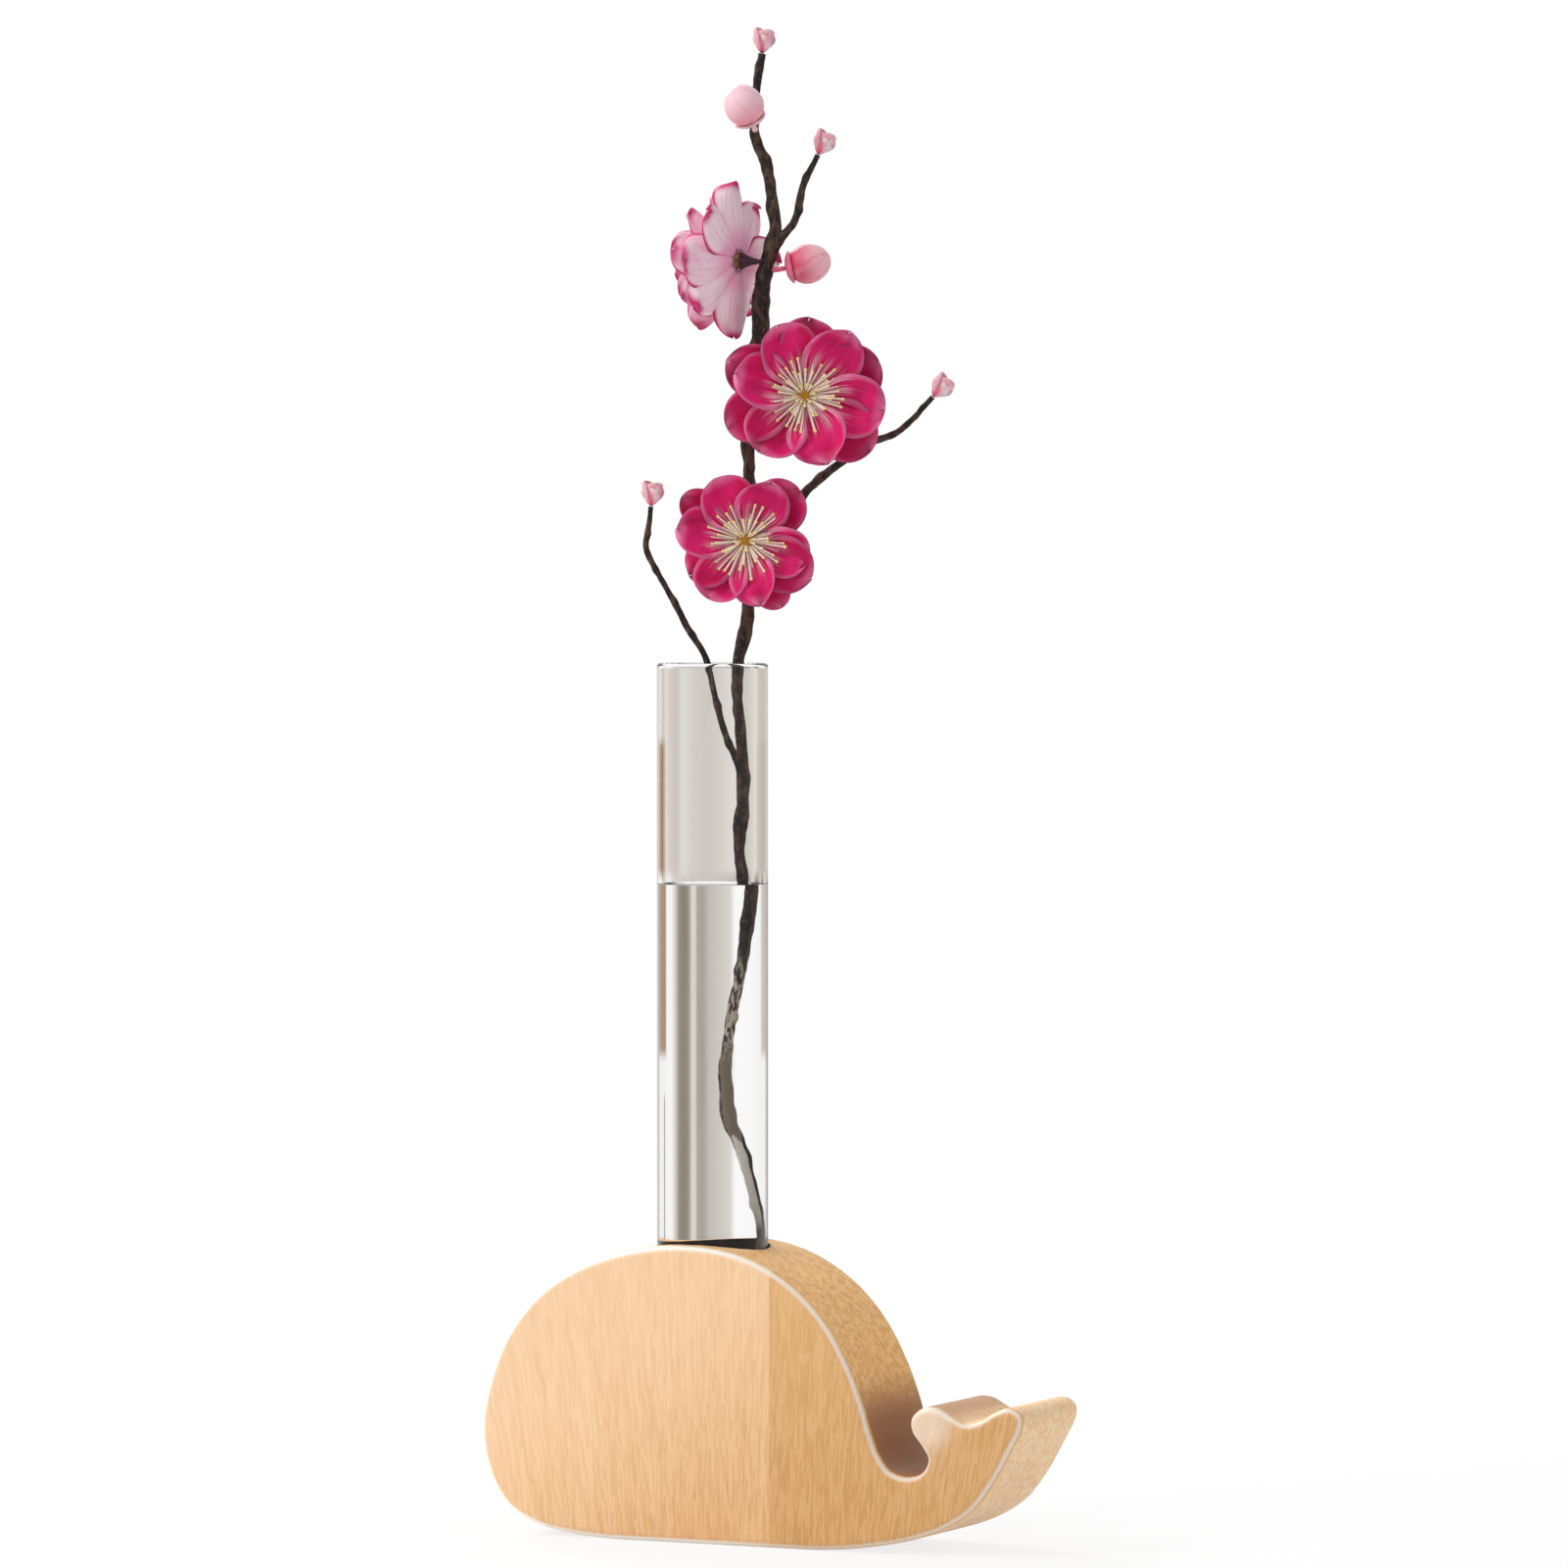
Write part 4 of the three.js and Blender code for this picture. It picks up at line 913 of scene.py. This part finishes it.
def stamen_tree(material):
    """A crown of filaments that leave a ring, each with an anther at its tip."""
    tree = bpy.data.node_groups.new("stamen crown", "GeometryNodeTree")
    inputs = {
        "Count": "NodeSocketInt", "Root Radius": "NodeSocketFloat", "Lean": "NodeSocketFloat",
        "Length": "NodeSocketFloat", "Thickness": "NodeSocketFloat", "Spread": "NodeSocketFloat",
        "Seed": "NodeSocketInt",
    }
    sockets = {}
    for name, kind in inputs.items():
        sockets[name] = tree.interface.new_socket(name, in_out="INPUT", socket_type=kind).identifier
    tree.interface.new_socket("Geometry", in_out="OUTPUT", socket_type="NodeSocketGeometry")
    nodes = Nodes(tree)
    source = tree.nodes.new("NodeGroupInput")
    value = {name: Term(nodes, source.outputs[name]) for name in inputs}

    def random(low, high, offset):
        settings = {"data_type": "FLOAT"}
        wanted = {2: low, 3: high, "Seed": value["Seed"] + offset}
        return nodes.node("FunctionNodeRandomValue", settings, wanted, 1)

    index = nodes.node("GeometryNodeInputIndex")
    turn = (index + random(-0.3, 0.3, 1)) / value["Count"] * (2 * math.pi)
    cosine = nodes.node("ShaderNodeMath", {"operation": "COSINE"}, {0: turn})
    sine = nodes.node("ShaderNodeMath", {"operation": "SINE"}, {0: turn})
    reach = value["Root Radius"]
    root = nodes.node("ShaderNodeCombineXYZ", {}, {0: cosine * reach, 1: sine * reach})
    points = nodes.node("GeometryNodePoints", {}, {"Count": value["Count"], "Position": root})
    tilt = math.pi / 2 - value["Lean"] + value["Spread"] * random(-1, 1, 2)
    euler = nodes.node("ShaderNodeCombineXYZ", {}, {0: random(-0.12, 0.12, 3), 1: tilt, 2: turn})
    rotation = nodes.node("FunctionNodeEulerToRotation", {}, {0: euler})

    middle = nodes.node("ShaderNodeCombineXYZ", {}, {0: value["Length"] * -0.1, 2: value["Length"] * 0.55})
    end = nodes.node("ShaderNodeCombineXYZ", {}, {2: value["Length"]})
    line = nodes.node(
        "GeometryNodeCurveQuadraticBezier", {},
        {"Resolution": 6, "Start": (0, 0, 0), "Middle": middle, "End": end},
    )
    along = nodes.node("GeometryNodeSplineParameter")
    store = {"data_type": "FLOAT", "domain": "POINT"}
    line = nodes.node(
        "GeometryNodeStoreNamedAttribute", store, {"Geometry": line, "Name": "mark", "Value": along}
    )
    ring = nodes.node("GeometryNodeCurvePrimitiveCircle", {}, {"Resolution": 6, "Radius": value["Thickness"]})
    filament = nodes.node(
        "GeometryNodeCurveToMesh", {}, {"Curve": line, "Profile Curve": ring, "Fill Caps": True}
    )
    bead = nodes.node(
        "GeometryNodeMeshIcoSphere", {}, {"Radius": value["Thickness"] * 1.8, "Subdivisions": 2}
    )
    bead = nodes.node(
        "GeometryNodeTransform", {}, {"Geometry": bead, "Translation": end, "Scale": (0.8, 1, 1.35)}
    )
    bead = nodes.node(
        "GeometryNodeStoreNamedAttribute", store, {"Geometry": bead, "Name": "mark", "Value": ANTHER_MARK}
    )
    join = tree.nodes.new("GeometryNodeJoinGeometry")
    nodes.feed(join.inputs[0], filament)
    nodes.feed(join.inputs[0], bead)
    stretch = random(0.78, 1.06, 4)
    scale = nodes.node("ShaderNodeCombineXYZ", {}, {0: 1.0, 1: 1.0, 2: stretch})
    crown = nodes.node(
        "GeometryNodeInstanceOnPoints", {},
        {"Points": points, "Instance": Term(nodes, join.outputs[0]), "Rotation": rotation, "Scale": scale},
    )
    crown = nodes.node("GeometryNodeRealizeInstances", {}, {"Geometry": crown})
    crown = nodes.node("GeometryNodeSetMaterial", {}, {"Geometry": crown, "Material": material})
    target = tree.nodes.new("NodeGroupOutput")
    nodes.feed(target.inputs[0], crown)
    return tree, sockets


def crown_mesh(tree, sockets, **sizes):
    """The crown's plain mesh, as the node tree makes it for these sizes."""
    blank = bpy.data.objects.new("crown blank", bpy.data.meshes.new("crown blank"))
    bpy.context.scene.collection.objects.link(blank)
    maker = blank.modifiers.new("crown", "NODES")
    maker.node_group = tree
    for name, value in sizes.items():
        maker[sockets[name.replace("_", " ").title()]] = value
    mesh = evaluated(blank)
    bpy.data.objects.remove(blank)
    return mesh


def merged_mesh(name, meshes):
    """One mesh from several that share their attributes."""
    shapes = []
    for mesh in meshes:
        places = np.array([v.co for v in mesh.vertices])
        marks = np.zeros(len(places), np.float32)
        mesh.attributes["mark"].data.foreach_get("value", marks)
        shapes.append(Shape(places, [tuple(p.vertices) for p in mesh.polygons], mark=marks))
    return mesh_of(name, together(shapes))


def build_blossoms(materials):
    tree, sockets = stamen_tree(materials["stamens"])
    turn = Matrix.Rotation(BRANCH_TURN, 4, "Z")
    for number, bloom in enumerate(BLOSSOMS):
        name = bloom["name"]
        place = turn @ seat_matrix(bloom, CALYX_DEPTH)
        slot = "pale_petals" if name == "side" else "magenta_petals"
        mesh = mesh_of(name, corolla(bloom).moved(place))
        add_piece(f"{name}_petals", mesh, materials[slot], "branch", [f"{name}_corolla"])
        radius = CALYX_RADIUS * bloom.get("calyx_share", 1)
        sides = [(radius * out, CALYX_DEPTH * (up - 1)) for out, up in CALYX_PROFILE]
        profile = [(0, -CALYX_DEPTH), (0.5 * radius, -CALYX_DEPTH), *sides, (0, 0)]
        cup = revolved(profile, 60, 5, CALYX_LOBE_SHARE)
        stem = stalk(bloom, CALYX_DEPTH, CALYX_STALK_SHARE * radius)
        back = together([cup.moved(place), stem.moved(turn)])
        # The side blossom's calyx takes the copy of the sepals darkened as painted shade
        colour = materials["shaded_sepals" if name == "side" else "sepals"]
        add_piece(f"{name}_sepals", mesh_of(name, back), colour, "branch", [f"{name}_calyx"])
        low, high = bloom["stamen_lean"]
        crowns = [
            crown_mesh(
                tree, sockets, count=count, root_radius=root, lean=math.radians(low + share * (high - low)),
                spread=spread, seed=number + 10 * ring, length=length * STAMEN_LENGTH,
                thickness=STAMEN_RADIUS,
            )
            for ring, (count, root, share, spread, length) in enumerate(CROWN_RINGS)
        ]
        dome = revolved([(DOME_RADIUS * out, DOME_HEIGHT * up) for out, up in DOME_PROFILE], 40)
        dome.mark[:] = DOME_MARK
        crown = merged_mesh(name, [*crowns, mesh_of("dome", dome)])
        crown.transform(place @ Matrix.Translation((0, 0, COROLLA_SEAT + CROWN_LIFT)))
        add_piece(f"{name}_crown", crown, materials["stamens"], "branch", [f"{name}_stamens"])


def bud_half_width(bud, share):
    return bud["width"] / 2 * math.sqrt(max(0.0, 1 - (2 * share - 1) ** 2)) * (1.06 - 0.12 * share)


def folded_bud(bud):
    """A round bud whose five petals lap over each other in a slow spiral."""
    rings, segments, lap = 24, 90, 0.035
    places, chart, marks = [(0, 0, 0)], [(0.5, 0)], [0.0]
    for ring in range(1, rings):
        share = 0.5 - 0.5 * math.cos(math.pi * ring / rings)
        for i in range(segments):
            turn = 2 * math.pi * i / segments
            fold = (5 * i / segments + 0.9 * share) % 1
            radius = bud_half_width(bud, share) * (1 - lap * fold * math.sin(math.pi * share))
            places.append((radius * math.cos(turn), radius * math.sin(turn), share * bud["length"]))
            chart.append((i / segments, share))
            marks.append(fold)
    places.append((0, 0, bud["length"]))
    chart.append((0.5, 1))
    marks.append(0.5)
    return Shape(places, closed_faces(rings - 1, segments), chart, marks)


def bud_cup(bud):
    steps = 7
    shares = [CUP_DEPTH_SHARE * i / steps for i in range(steps + 1)]
    gap = 0.0001
    outer = [(bud_half_width(bud, s) + gap + CUP_WALL, bud["length"] * s - CUP_WALL) for s in shares]
    inner = [(bud_half_width(bud, s) + gap, bud["length"] * s - gap) for s in reversed(shares)]
    bottom = -JOIN_GAP - 2 * CUP_WALL
    return revolved([(0, bottom), *outer, *inner, (0, -gap)], 60, 5, 0.05)


def build_buds(materials):
    turn = Matrix.Rotation(BRANCH_TURN, 4, "Z")
    depth = JOIN_GAP + 2 * CUP_WALL
    for bud in ROUND_BUDS:
        name = bud["name"]
        place = turn @ seat_matrix(bud, depth)
        ball = mesh_of(name, folded_bud(bud).moved(place))
        add_piece(f"{name}_folds", ball, materials[name], "branch", [name])
        cup = together([bud_cup(bud).moved(place), stalk(bud, depth, BUD_STALK).moved(turn)])
        colour = materials["pink_sepals" if name == "pink_bud" else "pale_sepals"]
        add_piece(f"{name}_cup", mesh_of(name, cup), colour, "branch", [f"{name}_calyx"])


def build_tip_buds(materials):
    turn = Matrix.Rotation(BRANCH_TURN, 4, "Z")
    ends = {"top": stem_route, "left": left_route, "right": right_route, "upper": upper_route}
    for name, route in ends.items():
        end, before = Vector(route[-1]), Vector(route[-2])
        heading = (end - before).normalized()
        place = turn @ Matrix.Translation(end + heading * JOIN_GAP * 0.3) @ facing(heading)
        shapes = []
        for i in range(TIP_BUD_PETALS):
            length = TIP_BUD_LENGTH * (0.78 + 0.12 * math.sin(2.3 * i))
            shape = petal(length, 0.95 * TIP_BUD_WIDTH, TIP_BUD_LEAN, 0.5, 0.14, 20 + i, 0.0002, 10, 8)
            shape.mark[:] = 0.8 * (i % 2)
            shapes.append(shape.moved(Matrix.Rotation(2 * math.pi * i / TIP_BUD_PETALS, 4, "Z")))
        mesh = mesh_of(name, together(shapes).moved(place))
        colour = materials["tip_petals"]
        add_piece(f"{name}_opening_bud", mesh, colour, "branch", [f"{name}_tip_bud"])


def build_floor():
    radius, glow = 0.45, 0.82
    material = bpy.data.materials.new("pale floor")
    material.use_nodes = True
    nodes = Nodes(material.node_tree)
    output = material.node_tree.nodes["Material Output"]
    place = nodes.node("ShaderNodeTexCoord", output="Object")
    reach = nodes.node("ShaderNodeVectorMath", {"operation": "LENGTH"}, {0: place}, 1)
    path = material.node_tree.nodes.new("ShaderNodeLightPath")
    seen = nodes.node("ShaderNodeMath", {"operation": "MAXIMUM"}, {
        0: Term(nodes, path.outputs["Is Camera Ray"]), 1: Term(nodes, path.outputs["Is Glossy Ray"]),
    })
    matt = nodes.node("ShaderNodeBsdfDiffuse", {}, {"Color": (0.9, 0.9, 0.9, 1)})
    white = nodes.node("ShaderNodeEmission", {}, {"Color": (1, 1, 1, 1), "Strength": 1.0})
    clear = nodes.node("ShaderNodeBsdfTransparent")
    lit = nodes.node("ShaderNodeMixShader", {}, {0: seen * glow, 1: matt, 2: white})
    fade = nodes.rise(reach, 0.5 * radius, radius)
    faded = nodes.node("ShaderNodeMixShader", {}, {0: fade, 1: lit, 2: clear})
    nodes.feed(output.inputs["Surface"], faded)
    segments = 96
    turns = [2 * math.pi * i / segments for i in range(segments)]
    mesh = bpy.data.meshes.new("floor")
    rim = [(radius * math.cos(t), radius * math.sin(t), 0) for t in turns]
    mesh.from_pydata(rim, [], [tuple(range(segments))])
    mesh.materials.append(material)
    floor = bpy.data.objects.new("floor", mesh)
    bpy.context.scene.collection.objects.link(floor)


def light_world():
    """White to the eye; metal and glass also see soft upright strips; plain light for the rest."""
    world = bpy.data.worlds.new("studio")
    bpy.context.scene.world = world
    world.use_nodes = True
    nodes = Nodes(world.node_tree)
    direction = nodes.node("ShaderNodeTexCoord", output="Generated")
    turned = nodes.node(
        "ShaderNodeVectorRotate", {"rotation_type": "Z_AXIS"}, {"Vector": direction, "Angle": -BRANCH_TURN}
    )
    parts = nodes.node("ShaderNodeSeparateXYZ", {}, {0: turned})
    outputs = parts.socket.node.outputs
    right, forward, up = (Term(nodes, output) for output in outputs)
    azimuth = nodes.node("ShaderNodeMath", {"operation": "ARCTAN2"}, {0: right, 1: forward})
    share = azimuth / math.pi + 0.5

    def at(degrees):
        return 0.5 + degrees / 180

    white, black = (1, 1, 1, 1), (0, 0, 0, 1)
    far, near, light = shade(170, 165, 160), shade(196, 191, 186), shade(226, 222, 217)
    mid = shade(206, 201, 193)
    low_strips = nodes.ramp(share, [
        (at(-62), far), (at(-50), near), (at(-46), white), (at(-12), white), (at(-9), shade(218, 214, 208)),
        (at(1), shade(196, 191, 184)), (at(4), shade(168, 162, 153)), (at(7), shade(172, 166, 157)),
        (at(8), shade(222, 218, 211)), (at(10), shade(220, 215, 208)), (at(11.5), shade(156, 149, 140)),
        (at(14), shade(136, 128, 118)), (at(18), shade(146, 138, 128)), (at(21), shade(212, 206, 198)),
        (at(25), white), (at(46), white), (at(50), near), (at(62), far),
    ])
    high_strips = nodes.ramp(share, [
        (at(-62), far), (at(-48), near), (at(-20), shade(246, 240, 232)), (at(-12), shade(218, 211, 202)),
        (at(-7), shade(206, 199, 190)), (at(-5), light), (at(-1), mid), (at(2), light), (at(5), mid),
        (at(12), shade(236, 231, 222)), (at(18), shade(206, 197, 188)), (at(48), near), (at(62), far),
    ])
    # Heights are sines of the angle above the level; what the camera sees through the tube changes with them
    above_water = nodes.rise(up, -0.037, -0.035)
    strips = nodes.mix(above_water, low_strips, high_strips)
    strong, weak, faint = (0.9, 0.9, 0.9, 1), (0.45, 0.45, 0.45, 1), (0.18, 0.18, 0.18, 1)
    low_edges = nodes.ramp(share, [
        (at(-54), black), (at(-52), weak), (at(-38), weak), (at(-35), black), (at(31), black),
        (at(33), strong), (at(52), strong), (at(54), black),
    ])
    high_edges = nodes.ramp(share, [
        (at(-47), black), (at(-44), strong), (at(-26), strong), (at(-21), black), (at(19), black),
        (at(24), faint), (at(44), faint), (at(47), black),
    ])
    edges = nodes.mix(above_water, low_edges, high_edges)
    span = nodes.rise(up, -0.0586, -0.0566) * (1 - nodes.rise(up, -0.021, -0.019))
    brown, grey_line, lamp_level = shade(150, 112, 68), shade(150, 144, 138), 0.62
    strips = nodes.mix(nodes.node("ShaderNodeRGBToBW", {}, {0: edges}) * span, strips, brown)
    line = nodes.rise(share, at(33.4), at(34.2)) * (1 - nodes.rise(share, at(35.2), at(36)))
    line = line * (1 - nodes.rise(up, -0.0635, -0.0615))
    strips = nodes.mix(line, strips, grey_line)
    strips = nodes.mix(nodes.rise(up, 0.1, 0.3), strips, white)
    strips = nodes.mix(nodes.rise(0 - up, 0.1, 0.3), strips, white)
    path = world.node_tree.nodes.new("ShaderNodeLightPath")
    camera, glossy, passed = (
        Term(nodes, path.outputs[name]) for name in ("Is Camera Ray", "Is Glossy Ray", "Is Transmission Ray")
    )
    lamp = nodes.node("ShaderNodeBackground", {}, {"Color": (1, 1, 1, 1), "Strength": lamp_level})
    paper = nodes.node("ShaderNodeBackground", {}, {"Color": (1, 1, 1, 1), "Strength": 1.0})
    room = nodes.node("ShaderNodeBackground", {}, {"Color": strips, "Strength": 1.0})
    seen = nodes.node("ShaderNodeMath", {"operation": "MAXIMUM"}, {0: glossy, 1: passed})
    mixed = nodes.node("ShaderNodeMixShader", {}, {0: seen, 1: lamp, 2: room})
    mixed = nodes.node("ShaderNodeMixShader", {}, {0: camera, 1: mixed, 2: paper})
    output = world.node_tree.nodes.get("World Output") or world.node_tree.nodes.new("ShaderNodeOutputWorld")
    nodes.feed(output.inputs["Surface"], mixed)


def add_lamp(name, place, target, size, power):
    lamp = bpy.data.lights.new(name, "AREA")
    lamp.shape, lamp.size, lamp.energy = "DISK", size, power
    holder = bpy.data.objects.new(name, lamp)
    holder.location = place
    holder.rotation_euler = (Vector(target) - Vector(place)).to_track_quat("-Z", "Y").to_euler()
    bpy.context.scene.collection.objects.link(holder)


# Camera: the photograph's frame, the scale at the tube's axis, and where the axis, the underside and the
# horizon lie in the frame
FRAME_PIXELS = 1601
FOCAL_PIXELS = 8500
PIXELS_PER_METRE = 5675
AXIS_PIXEL = 727.5
UNDERSIDE_PIXEL = 1570.2
HORIZON_PIXEL = 587
SENSOR = 36


def add_camera():
    centre = FRAME_PIXELS / 2
    down = math.atan((centre - HORIZON_PIXEL) / FOCAL_PIXELS)
    side = (centre - AXIS_PIXEL) / PIXELS_PER_METRE
    height = (UNDERSIDE_PIXEL - centre) / PIXELS_PER_METRE
    target = Vector((side * math.cos(BRANCH_TURN), side * math.sin(BRANCH_TURN), height))
    level = math.cos(down)
    back = Vector((math.sin(BRANCH_TURN) * level, -math.cos(BRANCH_TURN) * level, math.sin(down)))
    data = bpy.data.cameras.new("camera")
    data.sensor_width = SENSOR
    data.lens = SENSOR * FOCAL_PIXELS / FRAME_PIXELS
    data.clip_end = 20
    camera = bpy.data.objects.new("camera", data)
    camera.location = target + back * FOCAL_PIXELS / PIXELS_PER_METRE
    camera.rotation_mode = "QUATERNION"
    camera.rotation_quaternion = (-back).to_track_quat("-Z", "Y")
    bpy.context.scene.collection.objects.link(camera)
    bpy.context.scene.camera = camera


materials = {
    "beech_light": beech("light beech", shade(252, 212, 170), shade(230, 178, 116), shade(186, 124, 66)),
    "beech_warm": beech("warm beech", shade(232, 182, 122), shade(218, 166, 102), shade(172, 112, 54)),
    "magnet": plain("bright nickel", shade(190, 190, 192), shade(176, 176, 180), 0.004, 0.28, metallic=1.0),
    "glass": glass("clear glass", 1.5),
    "water": glass("clear water", 1.33),
    "bark": bark("plum bark"),
    "sepals": plain("dark red sepals", shade(118, 24, 50), shade(150, 52, 60), 0.002),
    # Painted shade: a near-black copy of the sepals for the calyx in the shaded gap of the side blossom
    "shaded_sepals": plain("near-black shaded sepals", shade(66, 14, 34), shade(36, 10, 20), 0.002),
    "pink_sepals": plain("pink sepals", shade(236, 120, 154), shade(216, 84, 124), 0.0015),
    "pale_sepals": plain("pale sepals", shade(246, 206, 208), shade(222, 178, 176), 0.0015),
    "magenta_petals": petals(
        "magenta petals", shade(228, 24, 110), shade(164, 0, 64), shade(246, 138, 186), shade(255, 206, 224),
        0.85, 0.85,
    ),
    "pale_petals": petals(
        "pale petals", shade(255, 230, 240), shade(246, 150, 190), shade(206, 36, 110), shade(255, 250, 252),
        1.2, 0.2, 0.84,
    ),
    "stamens": stamen_look("cream stamens"),
    "pale_bud": bud_look("pale bud petals", shade(252, 208, 218), shade(240, 150, 172)),
    "pink_bud": bud_look("pink bud petals", shade(250, 190, 200), shade(214, 58, 96)),
    "tip_petals": petals(
        "tip bud petals", shade(252, 196, 208), shade(230, 84, 122),
        shade(255, 248, 248), shade(255, 224, 230),
        0.9, 0.0, 0.6,
    ),
}

build_block(materials)
build_magnets(materials["magnet"])
build_tube(materials["glass"])
build_water(materials["water"])
build_branch(materials["bark"])
build_blossoms(materials)
build_buds(materials)
build_tip_buds(materials)
build_floor()
light_world()
add_lamp("key", (-0.9, -1.0, 1.2), (0, 0, 0.12), 0.9, 13)
add_lamp("rim", (-0.9, 0.7, 0.9), (0, 0, 0.08), 0.5, 9)
add_camera()

bpy.context.scene.view_settings.view_transform = "Standard"
